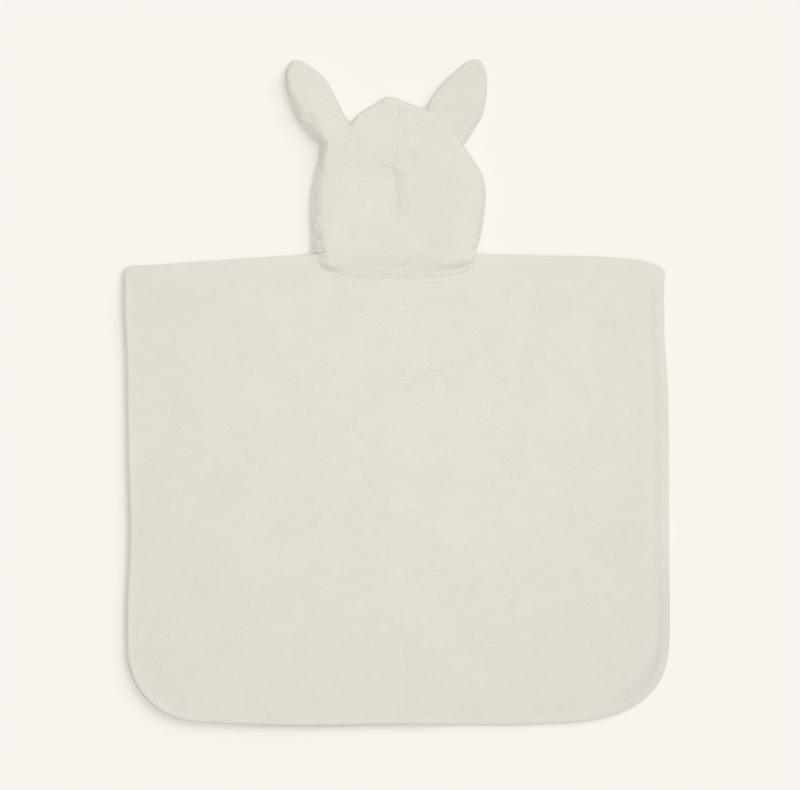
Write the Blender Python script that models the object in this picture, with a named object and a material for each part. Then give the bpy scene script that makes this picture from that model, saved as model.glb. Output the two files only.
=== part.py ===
"""A child's hooded bath poncho of terry cloth, lying flat with its back up.

Two body panels lie on each other and are joined at the shoulders. The hood is two halves sewn
along the crown seam: each half covers the back, rolls round the side and comes forward underneath
to the edge of the face opening. Each long ear is two tongues sewn together round the edge.
Metres, +Z up, +Y from the hem to the ears, the middle of the floor area at the origin.
"""

import bmesh
import bpy
import numpy as np

# Cloth
TERRY = 0.0030  # one layer of terry, loops included
GAP = 0.0003  # between two pieces that meet at a seam or lie on each other
FRONT_TOP = TERRY  # the front lies face down on the floor
BACK_UNDER = FRONT_TOP + GAP
BACK_TOP = BACK_UNDER + TERRY

# Body panels
GARMENT_LENGTH = 0.8542  # bottom hem to the tips of the ears
BODY_LENGTH = 0.6043  # bottom hem to the shoulders beside the neck
BACK_NECK_DROP = 0.0300
FRONT_NECK_DROP = 0.0700
NECK_HALF_WIDTH = {"left": 0.1085, "right": 0.1020}
BACK_NECK_ROUNDNESS = 3.0  # exponent of the scoop: 2 is an ellipse, more is squarer
FRONT_NECK_ROUNDNESS = 2.2
BOTTOM = -GARMENT_LENGTH / 2
SHOULDER = BOTTOM + BODY_LENGTH
NAPE = SHOULDER - BACK_NECK_DROP
FRONT_NECK = SHOULDER - FRONT_NECK_DROP

# Side edges from the shoulder down: height above the bottom hem, distance out on the left and on the right
SIDE_COLUMNS = ("height", "left", "right")
SIDES = (
    (0.5838, 0.3500, 0.3449),
    (0.5170, 0.3513, 0.3437),
    (0.4400, 0.3475, 0.3485),
    (0.3370, 0.3462, 0.3500),
    (0.2470, 0.3437, 0.3500),
    (0.1570, 0.3474, 0.3513),
)
# Shoulder lines from the neck out: share of the way, drop on the left and on the right
SHOULDER_COLUMNS = ("share", "left", "right")
SHOULDERS = (
    (0.00, 0.0000, 0.0000),
    (0.35, 0.0053, 0.0014),
    (0.65, 0.0104, 0.0030),
    (0.87, 0.0140, 0.0078),
    (0.96, 0.0158, 0.0150),
    (1.00, 0.0205, 0.0205),
)
# Bottom corners: how far each reaches along the hem and up the side, and its roundness
CORNERS = {
    "left": {"along": 0.100, "up": 0.100, "roundness": 2.0},
    "right": {"along": 0.170, "up": 0.100, "roundness": 2.2},
}
# Rings inward from a panel's edge: distance in, then height above the plain cloth on a hem,
# a shoulder seam and the neck seam
RING_COLUMNS = ("inset", "hem", "shoulder", "neck")
BACK_RINGS = (
    (0.0000, -0.0008, -0.0018, -0.0004),
    (0.0013, 0.0008, -0.0006, 0.0006),
    (0.0060, 0.0008, 0.0000, 0.0006),
    (0.0078, -0.0005, 0.0000, 0.0001),
    (0.0140, 0.0000, 0.0000, 0.0000),
)
FRONT_RINGS = (
    (0.0000, -0.0004, -0.0004, 0.0000),
    (0.0013, 0.0000, 0.0000, 0.0000),
    (0.0140, 0.0000, 0.0000, 0.0000),
)
FLOOR_RINGS = (  # the front's underside: flat but for its rounded rim
    (0.0000, 0.0009, 0.0009, 0.0000),
    (0.0013, 0.0000, 0.0000, 0.0000),
    (0.0140, 0.0000, 0.0000, 0.0000),
)
UNDER_RINGS = (  # the back's underside, which lies on the front
    (0.0000, 0.0002, 0.0002, 0.0000),
    (0.0013, 0.0000, 0.0000, 0.0000),
    (0.0140, 0.0000, 0.0000, 0.0000),
)
CORNER_STEPS = 5
SIDE_STEPS = 10

# Hood: outline of each half, from the neck round the side to the crown seam.
# Columns: out from the crown seam, height above the nape. The ear is sewn on between two of the rows.
HOOD_OUTLINES = {
    "left": (
        (0.1085, 0.0300),
        (0.1065, 0.0500),
        (0.1085, 0.0715),
        (0.1098, 0.0925),
        (0.1085, 0.1125),
        (0.1047, 0.1329),
        (0.1000, 0.1535),
        (0.0975, 0.1685),
        (0.0790, 0.1830),
        (0.0597, 0.1958),
        (0.0525, 0.2070),
        (0.0417, 0.2151),
        (0.0289, 0.2228),
        (0.0190, 0.2297),
        (0.0096, 0.2320),
        (0.0000, 0.2306),
    ),
    "right": (
        (0.1020, 0.0300),
        (0.1028, 0.0390),
        (0.1070, 0.0530),
        (0.1111, 0.0715),
        (0.1139, 0.0925),
        (0.1150, 0.1125),
        (0.1101, 0.1329),
        (0.0976, 0.1535),
        (0.0863, 0.1695),
        (0.0751, 0.1830),
        (0.0623, 0.1958),
        (0.0482, 0.2074),
        (0.0392, 0.2145),
        (0.0186, 0.2226),
        (0.0000, 0.2306),
    ),
}
EAR_ROWS = {"left": (7, 9), "right": (8, 12)}  # rows of the outline where the ear's base starts and ends
HOOD_HEIGHT = 0.0099  # both layers, with the fold springing up between them
NECK_RISE = 0.016  # how far from the neck seam the hood reaches its height
SEAM_DIP = 0.0010
SEAM_CREASE = {"depth": 0.0016, "from": 0.072, "to": 0.144, "half_width": 0.007}
FACE_OPENING = {"half_width": 0.055, "top": 0.182}  # the top is measured from the nape
# How far in from the outline the fold begins, at the neck, the side, the ear's base and the crown
FOLD_REACH = {
    "left": {"neck": 0.0042, "side": 0.0090, "ear": 0.0042, "crown": 0.0075},
    "right": {"neck": 0.0042, "side": 0.0090, "ear": 0.0075, "crown": 0.0075},
}
SIDE_SHARES = (0.0, 0.02, 0.06, 0.12, 0.20, 0.29, 0.38, 0.47, 0.56, 0.65, 0.74, 0.83, 0.92, 1.0)
EAR_SHARES = (0.0, 0.04, 0.11, 0.22, 0.36, 0.50, 0.64, 0.78, 0.89, 0.96, 1.0)
CROWN_SHARES = (0.0, 0.14, 0.28, 0.42, 0.56, 0.70, 0.84, 0.94, 1.0)
# From the crown seam out to the fold
LAYER_SHARES = (0.0, 0.03, 0.07, 0.13, 0.28, 0.46, 0.64, 0.80, 0.92, 1.0)
FOLD_STEPS = 8  # even: half above and half below
UNDER_STEPS = 6

# Ears: the axis starts at the base and leans out from straight up, in radians.
# Columns: distance along the axis, width on the inner side, width on the outer side.
EARS = {
    "left": {
        "base": (-0.0790, 0.3301),
        "lean": -0.4927,
        "rows": (
            (0.018, 0.0228, 0.0290),
            (0.036, 0.0234, 0.0317),
            (0.054, 0.0240, 0.0315),
            (0.070, 0.0228, 0.0290),
            (0.086, 0.0170, 0.0252),
            (0.098, 0.0110, 0.0200),
            (0.106, 0.0050, 0.0125),
        ),
        "tip": (0.1105, -0.0030),
        "base_top": 0.0086,
    },
    "right": {
        "base": (0.0636, 0.3391),
        "lean": 0.4306,
        "rows": (
            (0.020, 0.0335, 0.0346),
            (0.034, 0.0314, 0.0356),
            (0.048, 0.0288, 0.0328),
            (0.062, 0.0236, 0.0290),
            (0.076, 0.0175, 0.0230),
            (0.087, 0.0120, 0.0165),
            (0.0935, 0.0060, 0.0100),
        ),
        "tip": (0.0975, 0.0020),
        "base_top": 0.0070,
    },
}
EAR_TOP = 0.0090
EAR_RIM = 0.0010  # thickness left at the sewn edge
EAR_ROUNDING = 0.010
EAR_UNDER_ROUNDING = 0.003
EAR_LENGTH_SHARES = (0.0, 0.08, 0.18, 0.29, 0.40, 0.51, 0.62, 0.72, 0.80, 0.87, 0.93, 0.97, 1.0)

COLOURS = {
    "body": (0.775, 0.745, 0.665),
    "hood": (0.780, 0.748, 0.668),
    "ear": (0.770, 0.738, 0.665),
}


def through(points, at):
    """Smooth curve through the points. Place 1.5 is halfway from the second to the third."""
    points = np.asarray(points, float)
    at = np.asarray(at, float)
    slopes = np.gradient(points, axis=0)
    low = np.clip(np.floor(at).astype(int), 0, len(points) - 2)
    share = (at - low)[:, None]
    start, end = points[low], points[low + 1]
    rise, fall = slopes[low], slopes[low + 1]
    return (
        start * (1 + 2 * share) * (1 - share) ** 2
        + rise * share * (1 - share) ** 2
        + end * (3 - 2 * share) * share**2
        - fall * share**2 * (1 - share)
    )


def evenly(points, steps):
    """A smooth curve through the points, cut into steps of equal length."""
    dense = through(points, np.linspace(0, len(points) - 1, 40 * len(points)))
    length = np.concatenate([[0], np.cumsum(np.linalg.norm(np.diff(dense, axis=0), axis=1))])
    wanted = np.linspace(0, length[-1], steps + 1)
    return np.stack([np.interp(wanted, length, dense[:, k]) for k in range(2)], axis=1)


def scoop(share, depth, roundness):
    """How far a scooped neckline has risen from its lowest point, at this share of its half width."""
    share = np.clip(share, 0, 1)
    return depth * (1 - (1 - share**roundness) ** (1 / roundness))


def rounded(share):
    """0 at the edge and 1 inside, rising as a quarter of an ellipse does."""
    return np.sqrt(1 - (1 - np.clip(share, 0, 1)) ** 2)


# ---- body panels


def corner(side, start, end, steps):
    """Part of a rounded bottom corner, between two angles measured from the side edge (0) to the hem (90)."""
    sign = -1 if side == "left" else 1
    size = CORNERS[side]
    edge = SIDES[-1][SIDE_COLUMNS.index(side)]
    angle = np.radians(np.linspace(start, end, steps + 1))
    power = 2 / size["roundness"]
    across = edge - size["along"] * (1 - np.cos(angle) ** power)
    up = size["up"] * (1 - np.sin(angle) ** power)
    return np.stack([sign * across, BOTTOM + up], axis=1)


def side_edge(side):
    """From the middle of the bottom corner up to the shoulder."""
    sign = -1 if side == "left" else 1
    column = SIDE_COLUMNS.index(side)
    low = corner(side, 45, 0, CORNER_STEPS)
    rows = [(sign * row[column], BOTTOM + row[0]) for row in reversed(SIDES)]
    high = evenly([low[-1], *rows], SIDE_STEPS)
    return np.concatenate([low, high[1:]])


def hem_edge(steps):
    """Along the bottom from the middle of the left corner to the middle of the right one."""
    left = corner("left", 45, 90, CORNER_STEPS)
    right = corner("right", 90, 45, CORNER_STEPS)
    middle = np.linspace(left[-1], right[0], steps - 2 * CORNER_STEPS + 1)
    return np.concatenate([left, middle[1:-1], right])


def shoulder_edge(side):
    """From the neck out to the side edge."""
    sign = -1 if side == "left" else 1
    column = SHOULDER_COLUMNS.index(side)
    neck = NECK_HALF_WIDTH[side] + 1.5 * GAP
    end = SIDES[0][SIDE_COLUMNS.index(side)]
    rows = [(neck + (end - neck) * row[0], SHOULDER - row[column]) for row in SHOULDERS]
    places = np.array([0, 0.9, 1.8, 2.7, 3.4, 4, 5])
    return through(rows, places) * (sign, 1)


def panel_loop(neck):
    """The outline as four edges of points, and what each point of the closed loop lies on."""
    left, right = shoulder_edge("left"), shoulder_edge("right")
    top = np.concatenate([left[::-1], neck[1:-1], right])
    hem = hem_edge(len(top) - 1)
    sides = side_edge("left"), side_edge("right")
    loop = np.concatenate([hem, sides[1][1:], top[::-1][1:], sides[0][::-1][1:-1]])
    kinds = (
        ["hem"] * (len(hem) + len(sides[1]) - 2)
        + ["shoulder"] * (len(right))
        + ["neck"] * (len(neck) - 2)
        + ["shoulder"] * (len(left))
        + ["hem"] * (len(sides[0]) - 2)
    )
    return {"hem": hem, "right": sides[1], "top": top, "left": sides[0]}, loop, kinds


def inward(loop):
    """For each point of a loop that runs counter-clockwise, the step that moves both edges in by 1."""
    before = loop - np.roll(loop, 1, axis=0)
    after = np.roll(loop, -1, axis=0) - loop
    normals = []
    for edge in (before, after):
        edge = edge / np.linalg.norm(edge, axis=1)[:, None]
        normals.append(np.stack([-edge[:, 1], edge[:, 0]], axis=1))
    joined = normals[0] + normals[1]
    return joined / (1 + (normals[0] * normals[1]).sum(1))[:, None]


def patch(loop, columns, rows):
    """Grid between the four edges of a loop that starts at the bottom left, blended from those edges."""
    bottom = loop[: columns + 1]
    right = loop[columns : columns + rows + 1]
    top = loop[columns + rows : 2 * columns + rows + 1][::-1]
    left = np.concatenate([loop[2 * columns + rows :], loop[:1]])[::-1]
    across = np.linspace(0, 1, columns + 1)[None, :, None]
    up = np.linspace(0, 1, rows + 1)[:, None, None]
    upright = (1 - up) * bottom[None] + up * top[None]
    level = (1 - across) * left[:, None] + across * right[:, None]
    low = (1 - across) * bottom[0] + across * bottom[-1]
    high = (1 - across) * top[0] + across * top[-1]
    return upright + level - (1 - up) * low - up * high


def panel_face(edges, loop, kinds, rings, plain):
    """One face of a panel: rings that follow the outline, and the plain cloth inside them."""
    columns, rows = len(edges["hem"]) - 1, len(edges["left"]) - 1
    step = inward(loop)
    column = [RING_COLUMNS.index(kind) for kind in kinds]
    bands = []
    for ring in rings:
        flat = loop + ring[0] * step
        height = plain + np.array([ring[k] for k in column])
        bands.append(np.concatenate([flat, height[:, None]], axis=1))
    inside = patch(bands[-1], columns, rows)
    closed = np.concatenate([np.array(bands), np.array(bands)[:, :1]], axis=1)
    return closed, inside


def make_panel(name, neck, upper_rings, upper, lower_rings, lower):
    edges, loop, kinds = panel_loop(neck)
    top = panel_face(edges, loop, kinds, upper_rings, upper)
    under = panel_face(edges, loop, kinds, lower_rings, lower)
    rim = np.stack([top[0][0], under[0][0]])
    return make_cloth(name, [*top, *under, rim], "body")


# ---- hood


def hood_rows(side):
    """Rows from the neck to the crown: outline point, outward direction, fold reach, share of the length."""
    outline = np.array(HOOD_OUTLINES[side])
    start, end = EAR_ROWS[side]
    last = len(outline) - 1
    places = np.concatenate(
        [
            np.array(SIDE_SHARES[:-1]) * start,
            start + np.array(EAR_SHARES[:-1]) * (end - start),
            end + np.array(CROWN_SHARES) * (last - end),
        ]
    )
    points = through(outline, places)
    ahead = through(outline, np.minimum(places + 0.02, last)) - through(outline, np.maximum(places - 0.02, 0))
    ahead /= np.linalg.norm(ahead, axis=1)[:, None]
    outward = np.stack([ahead[:, 1], -ahead[:, 0]], axis=1)
    outward[0] = (1, 0)
    points[-1, 0] = 0
    marks = (0, 1, start - 1, start + 0.4, end - 0.4, end + 1, last)
    values = [FOLD_REACH[side][k] for k in ("neck", "side", "side", "ear", "ear", "crown", "crown")]
    reach = np.interp(places, marks, values)
    crown = places > end
    lean = np.minimum(outward[crown, 0], 0.8 * points[crown, 0] / reach[crown])
    outward[crown] = np.stack([lean, np.sqrt(1 - lean**2)], axis=1)
    length = np.concatenate([[0], np.cumsum(np.linalg.norm(np.diff(points, axis=0), axis=1))])
    return points, outward, reach, length / length[-1]


def ear_row_slice():
    first = len(SIDE_SHARES) - 1
    return slice(first, first + len(EAR_SHARES))


def hood_top(out, height):
    """Height of the hood's upper face over the floor, from the distance out and the height above the nape."""
    rise = rounded(height / NECK_RISE)
    crease = SEAM_CREASE
    middle = (height - crease["from"]) / (crease["to"] - crease["from"])
    deep = crease["depth"] * np.sin(np.pi * np.clip(middle, 0, 1)) ** 2
    dip = (SEAM_DIP + deep) * np.exp(-((out / crease["half_width"]) ** 2))
    return BACK_TOP + (HOOD_HEIGHT - BACK_TOP) * rise - dip * rise


def face_edge(share):
    """The edge of the face opening, from the front of the neck to its top."""
    low = FRONT_NECK - NAPE
    size = FACE_OPENING
    out = size["half_width"] * np.sin(np.pi * share)
    up = low + (size["top"] - low) * (1 - np.cos(np.pi * share)) / 2
    return np.stack([out, up], axis=1)


def hood_layers(side):
    """Outer and inner face of a hood half.

    Rows run from the neck to the crown, columns from the crown seam round the fold to the face edge.
    """
    outline, outward, reach, share = hood_rows(side)
    fold = outline - reach[:, None] * outward
    seam = np.stack([np.zeros(len(share)), fold[-1, 1] * share], axis=1)
    seam[-1] = fold[-1]
    face = face_edge(share)
    upper = np.array(LAYER_SHARES)[None, :, None]
    lower = np.linspace(0, 1, UNDER_STEPS + 1)[None, 1:, None]
    turn = np.pi * np.linspace(0, 1, FOLD_STEPS + 1)[1:]
    above = seam[:, None] * (1 - upper) + fold[:, None] * upper
    below = fold[:, None] * (1 - lower) + face[:, None] * lower

    neck_out = np.concatenate(
        [above[0, :, 0], fold[0, 0] + reach[0] * np.sin(turn), below[0, :, 0]]
    )
    half = len(LAYER_SHARES) + FOLD_STEPS // 2
    drop = np.where(np.arange(len(neck_out)) < half, BACK_NECK_DROP, FRONT_NECK_DROP)
    power = np.where(np.arange(len(neck_out)) < half, BACK_NECK_ROUNDNESS, FRONT_NECK_ROUNDNESS)
    neck_height = BACK_NECK_DROP - drop + scoop(neck_out / outline[0, 0], drop, power)
    fade = np.clip(1 - share / 0.45, 0, 1)[:, None] ** 2

    faces = []
    for inset in (0.0, TERRY):
        bend = (reach - inset)[:, None]
        around = fold[:, None] + (bend * np.sin(turn))[:, :, None] * outward[:, None]
        plan = np.concatenate([above, around, below], axis=1)
        shift = neck_height - plan[0, :, 1]
        plan[:, :, 1] += fade * shift[None]
        up_seam = np.broadcast_to(seam[:, 1:], above.shape[:2])
        top = hood_top(plan[:, : len(LAYER_SHARES), 0], up_seam) - inset
        middle = (top[:, -1:] + inset) / 2
        height = np.concatenate(
            [top, middle + (top[:, -1:] - middle) * np.cos(turn), np.full(below.shape[:2], inset)], axis=1
        )
        faces.append(np.concatenate([plan, height[:, :, None]], axis=2))
    return faces


def placed_hood(side):
    """The two faces of a hood half in the garment's own axes."""
    sign = -1 if side == "left" else 1
    faces = hood_layers(side)
    for face in faces:
        face[:, :, 0] = sign * (face[:, :, 0] + GAP / 2)
        face[:, :, 1] += NAPE
    return faces


def neckline(faces, back):
    """Where a panel meets the hood, left to right: the hood's own neck points moved out by the gap."""
    half = len(LAYER_SHARES) + FOLD_STEPS // 2
    halves = []
    for side in ("left", "right"):
        row = faces[side][0][0, :, :2]
        halves.append(row[:half] if back else row[half - 1 :][::-1])
    line = np.concatenate([halves[0][::-1], halves[1]])
    middle = len(line) // 2
    line[middle - 1] = line[middle - 1 : middle + 1].mean(0)
    line = np.delete(line, middle, axis=0)
    ahead = np.gradient(line, axis=0)
    ahead /= np.linalg.norm(ahead, axis=1)[:, None]
    moved = line + GAP * np.stack([ahead[:, 1], -ahead[:, 0]], axis=1)
    moved[0] = line[0] - (GAP, 0)
    moved[-1] = line[-1] + (GAP, 0)
    return moved


# ---- ears


def ear_plan(side, hood_base):
    """Grid of an ear from its curved base to its tip, and from its inner to its outer edge."""
    ear = EARS[side]
    sign = -1 if side == "left" else 1
    axis = np.array([np.sin(ear["lean"]), np.cos(ear["lean"])])
    outward = sign * np.array([axis[1], -axis[0]])
    base = np.array(ear["base"])
    tip_out = sign * ear["tip"][1]
    tip = base + ear["tip"][0] * axis + tip_out * outward
    edges = []
    for sense, column, start in ((-1, 1, hood_base[-1]), (1, 2, hood_base[0])):
        rows = [base + row[0] * axis + sense * row[column] * outward for row in ear["rows"]]
        line = [start, *rows, tip]
        edges.append(through(line, np.array(EAR_LENGTH_SHARES) * (len(line) - 1)))
    across = np.array(EAR_SHARES)[None, :, None]
    grid = edges[0][:, None] * (1 - across) + edges[1][:, None] * across
    bulge = hood_base[::-1] - grid[0]
    fade = np.clip(1 - np.array(EAR_LENGTH_SHARES) / 0.4, 0, 1) ** 2
    return grid + fade[:, None, None] * bulge[None]


def edge_distance(grid):
    """For each point of an ear's grid, how far the nearest side edge and the tip are."""
    sides = np.minimum(
        np.linalg.norm(grid - grid[:, :1], axis=2),
        np.linalg.norm(grid - grid[:, -1:], axis=2),
    )
    return sides, np.linalg.norm(grid - grid[-1:, :1], axis=2)


def ear_layers(side, hood_base):
    """Upper and lower faces of the ear's two tongues."""
    grid = ear_plan(side, hood_base)
    sides, tip = edge_distance(grid)
    along = np.array(EAR_LENGTH_SHARES)[:, None]
    crown = EAR_TOP + (EARS[side]["base_top"] - EAR_TOP) * np.clip(1 - along / 0.3, 0, 1)
    rim = BACK_UNDER + EAR_RIM
    swell = rounded(sides / EAR_ROUNDING) * rounded(tip / EAR_ROUNDING)
    back_top = rim + (crown - rim) * swell
    back_under = np.maximum(BACK_UNDER, back_top - TERRY)
    front_under = (TERRY - EAR_RIM) * (
        1 - rounded(sides / EAR_UNDER_ROUNDING) * rounded(tip / EAR_UNDER_ROUNDING)
    )
    front_top = np.full(front_under.shape, FRONT_TOP)
    heights = (back_top, back_under, front_top, front_under)
    skins = [np.concatenate([grid, z[:, :, None]], axis=2) for z in heights]
    return skins[:2], skins[2:]


# ---- making the objects


def make_material(name, colour):
    material = bpy.data.materials.new(name)
    material.use_nodes = True
    shader = material.node_tree.nodes["Principled BSDF"]
    shader.inputs["Base Color"].default_value = (*colour, 1)
    shader.inputs["Roughness"].default_value = 0.95
    shader.inputs["Metallic"].default_value = 0.0
    return material


def make_cloth(name, skins, colour):
    """One closed wall of cloth from grids of points that share their edges."""
    work = bmesh.new()
    for skin in skins:
        rows, columns = skin.shape[:2]
        corners = [[work.verts.new(point) for point in row] for row in skin]
        for r in range(rows - 1):
            for c in range(columns - 1):
                work.faces.new((corners[r][c], corners[r][c + 1], corners[r + 1][c + 1], corners[r + 1][c]))
    bmesh.ops.remove_doubles(work, verts=work.verts, dist=2e-6)
    bmesh.ops.recalc_face_normals(work, faces=work.faces)
    mesh = bpy.data.meshes.new(name)
    work.to_mesh(mesh)
    work.free()
    mesh.shade_smooth()
    mesh.set_sharp_from_angle(angle=np.radians(50))
    cloth = bpy.data.objects.new(name, mesh)
    mesh.materials.append(make_material(name, COLOURS[colour]))
    bpy.data.collections["hooded_bath_poncho"].objects.link(cloth)
    return cloth


def make_wall(name, outer, inner, colour):
    """A wall between two grids of the same layout, closed along their four edges."""
    rims = [
        np.stack([outer[0], inner[0]]),
        np.stack([outer[-1], inner[-1]]),
        np.stack([outer[:, 0], inner[:, 0]]),
        np.stack([outer[:, -1], inner[:, -1]]),
    ]
    return make_cloth(name, [outer, inner, *rims], colour)


def clear_scene():
    for thing in list(bpy.data.objects):
        bpy.data.objects.remove(thing, do_unlink=True)
    collection = bpy.data.collections.new("hooded_bath_poncho")
    bpy.context.scene.collection.children.link(collection)


def main():
    clear_scene()
    hood = {side: placed_hood(side) for side in ("left", "right")}
    front_neck, back_neck = neckline(hood, back=False), neckline(hood, back=True)
    make_panel("front_panel", front_neck, FRONT_RINGS, FRONT_TOP, FLOOR_RINGS, 0.0)
    make_panel("back_panel", back_neck, BACK_RINGS, BACK_TOP, UNDER_RINGS, BACK_UNDER)
    for side, (outer, inner) in hood.items():
        make_wall("hood_" + side, outer, inner, "hood")
        sign = -1 if side == "left" else 1
        points, outward, _, _ = hood_rows(side)
        base = (points + GAP * outward)[ear_row_slice()]
        base = np.stack([sign * (base[:, 0] + GAP / 2), base[:, 1] + NAPE], axis=1)
        back, front = ear_layers(side, base)
        make_wall(f"ear_{side}_back", *back, "ear")
        make_wall(f"ear_{side}_front", *front, "ear")


main()
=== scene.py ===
import bmesh
import bpy
import numpy as np
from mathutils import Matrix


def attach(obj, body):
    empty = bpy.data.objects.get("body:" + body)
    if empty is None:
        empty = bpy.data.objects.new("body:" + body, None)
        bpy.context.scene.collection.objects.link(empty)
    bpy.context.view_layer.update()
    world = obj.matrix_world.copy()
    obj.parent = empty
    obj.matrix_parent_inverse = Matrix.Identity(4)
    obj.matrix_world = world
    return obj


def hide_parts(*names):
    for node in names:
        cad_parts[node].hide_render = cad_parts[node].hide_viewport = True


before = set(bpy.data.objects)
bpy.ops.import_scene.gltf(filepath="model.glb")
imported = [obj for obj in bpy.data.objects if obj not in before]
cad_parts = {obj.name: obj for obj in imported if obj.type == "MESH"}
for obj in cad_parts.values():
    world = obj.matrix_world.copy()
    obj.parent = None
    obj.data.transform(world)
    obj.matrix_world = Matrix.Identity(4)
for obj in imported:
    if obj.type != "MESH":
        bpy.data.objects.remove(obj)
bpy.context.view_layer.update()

# A child's bath poncho of pale terry, laid flat with its back up. Metres, +Y towards the ears.
# Where something is given for a side, 0 is the left and 1 the right.
cloth = {
    "terry": 0.0030,
    "backUnder": 0.0033,
    "backTop": 0.0063,
    "bottomY": -0.4271,
    "shoulderY": 0.1772,
    "napeY": 0.1472,
    "frontNeckY": 0.1072,
    "neckHalf": (0.1085, 0.1020),
    "backRoundness": 3.0,
    "frontRoundness": 2.2,
}
signs = (-1, 1)  # of x on each side
noiseGrid = {"cells": 256, "start": (91.37, 73.81)}


def through(points, at):
    # smooth curve through the points: two end points and two slopes blended by the cubic of Hermite
    points, at = np.asarray(points, float), np.asarray(at, float)
    slopes = np.gradient(points, axis=0)
    low = np.clip(np.floor(at).astype(int), 0, len(points) - 2)
    s = (at - low)[:, None]
    start, end = points[low], points[low + 1]
    rise, fall = slopes[low], slopes[low + 1]
    return (start * (1 + 2 * s) * (1 - s) ** 2 + rise * s * (1 - s) ** 2
            + end * (3 - 2 * s) * s**2 - fall * s**2 * (1 - s))


def lengthAlong(line):
    # running sum of the distances between neighbouring points
    return np.concatenate([[0], np.cumsum(np.linalg.norm(np.diff(line, axis=0), axis=1))])


def shareAlong(line):
    # the length so far over the whole length
    length = lengthAlong(line)
    return length / length[-1]


def evenLine(line, steps):
    # the same line cut into steps of equal length
    length = lengthAlong(line)
    wanted = np.linspace(0, length[-1], steps + 1)
    return np.stack([np.interp(wanted, length, column) for column in np.asarray(line).T], axis=1)


def smoothCurve(points, perPoint=30):
    # the curve through all the points, read at even places
    return through(points, np.linspace(0, len(points) - 1, perPoint * len(points)))


def smoothStep(t):
    # 3 t^2 - 2 t^3, held at 0 and 1 outside
    t = np.clip(t, 0, 1)
    return t * t * (3 - 2 * t)


def ramp(value, start, width):
    # the smooth step of (value - start) / width
    return smoothStep((value - start) / width)


def bell(value, width):
    # e^(-(value / width)^2)
    return np.exp(-(value / width) ** 2)


def roll(t, straight=0.0, power=0.5):
    # a straight slope for the first share, then a parabola that levels out, raised to the power:
    # a quarter of an ellipse at 0 and 0.5
    t = np.clip(t, 0, 1)
    level = 1 - np.clip((1 - t) / (1 - straight), 0, 1) ** 2
    return ((2 * np.minimum(t, straight) + (1 - straight) * level) / (1 + straight)) ** power


def crowded(count, pull):
    # shares from 0 to 1, closer together at both ends: u - pull * sin(2 pi u) / (2 pi)
    u = np.linspace(0, 1, count + 1)
    return u - pull * np.sin(2 * np.pi * u) / (2 * np.pi)


def fromTable(rows, at):
    # straight lines between the rows of a table whose first column is where they are read
    rows = np.asarray(rows, float)
    return [np.interp(at, rows[:, 0], rows[:, k]) for k in range(1, rows.shape[1])]


def unit(vectors):
    # each vector over its length
    return vectors / np.maximum(np.linalg.norm(vectors, axis=1), 1e-9)[:, None]


def leftOf(vectors):
    # (x, y) becomes (-y, x)
    return np.stack([-vectors[:, 1], vectors[:, 0]], axis=1)


def softNoise(x, y, sizeX, sizeY, seed):
    # random heights on a grid of cells, joined by 6 s^5 - 15 s^4 + 10 s^3 across each cell
    cells, (startU, startV) = noiseGrid["cells"], noiseGrid["start"]
    heights = np.random.default_rng(seed).uniform(-1, 1, (cells, cells))
    u, v = np.asarray(x) / sizeX + startU, np.asarray(y) / sizeY + startV
    i, j = np.floor(u).astype(int), np.floor(v).astype(int)
    s, t = u - i, v - j
    s = s**3 * (s * (6 * s - 15) + 10)
    t = t**3 * (t * (6 * t - 15) + 10)

    def corner(a, b):
        # the height at one corner of the cell
        return heights[(i + a) % cells, (j + b) % cells]

    low = corner(0, 0) * (1 - s) + corner(1, 0) * s
    high = corner(0, 1) * (1 - s) + corner(1, 1) * s
    return low * (1 - t) + high * t


def swells(x, y, rows):
    # sum of depth * soft noise; each row gives depth, cell size along x and along y, and seed
    return sum(depth * softNoise(x, y, sizeX, sizeY, seed) for depth, sizeX, sizeY, seed in rows)


def creases(x, y, rows):
    # each row presses a trough: depth * e^(-(across / width)^2 - (along / half length)^4).
    # Its numbers are centre x, centre y, turn, length, width, depth, and where there is a seventh,
    # across is bent by bend * along^2. Millimetres and degrees; a negative depth is a ridge.
    total = np.zeros(np.shape(x))
    for centreX, centreY, turn, length, width, depth, *bend in rows:
        a = np.radians(turn)
        dx, dy = np.asarray(x) * 1000 - centreX, np.asarray(y) * 1000 - centreY
        along = dx * np.cos(a) + dy * np.sin(a)
        across = -dx * np.sin(a) + dy * np.cos(a) - sum(bend) * along**2 / max(length, 1)
        total -= depth * np.exp(-(across / width) ** 2 - (2 * along / length) ** 4)
    return total / 1000


def nearestOn(points, line, block=3000):
    # distance from each point to a line of short segments, and the place along it counted in points;
    # on each segment the nearest share is (point - start) . step / step . step, held within 0 and 1
    points, line = np.asarray(points, float), np.asarray(line, float)
    distance, place = np.empty(len(points)), np.empty(len(points))
    for first in range(0, len(points), block):
        some = points[first:first + block]
        gaps = ((some[:, None] - line[None]) ** 2).sum(2)
        nearest = gaps.argmin(1)
        best = np.sqrt(gaps[np.arange(len(some)), nearest])
        at = nearest.astype(float)
        for start in (nearest - 1, nearest):
            start = np.clip(start, 0, len(line) - 2)
            step = line[start + 1] - line[start]
            share = ((some - line[start]) * step).sum(1) / np.maximum((step**2).sum(1), 1e-18)
            share = np.clip(share, 0, 1)
            reach = np.linalg.norm(some - line[start] - share[:, None] * step, axis=1)
            better = reach < best
            best = np.where(better, reach, best)
            at = np.where(better, start + share, at)
        distance[first:first + block], place[first:first + block] = best, at
    return distance, place


def gapAndPlace(line, x, y):
    # nearestOn for grids of x and y
    found = nearestOn(np.stack([np.ravel(x), np.ravel(y)], axis=1), line)
    return [values.reshape(np.shape(x)) for values in found]


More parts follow.
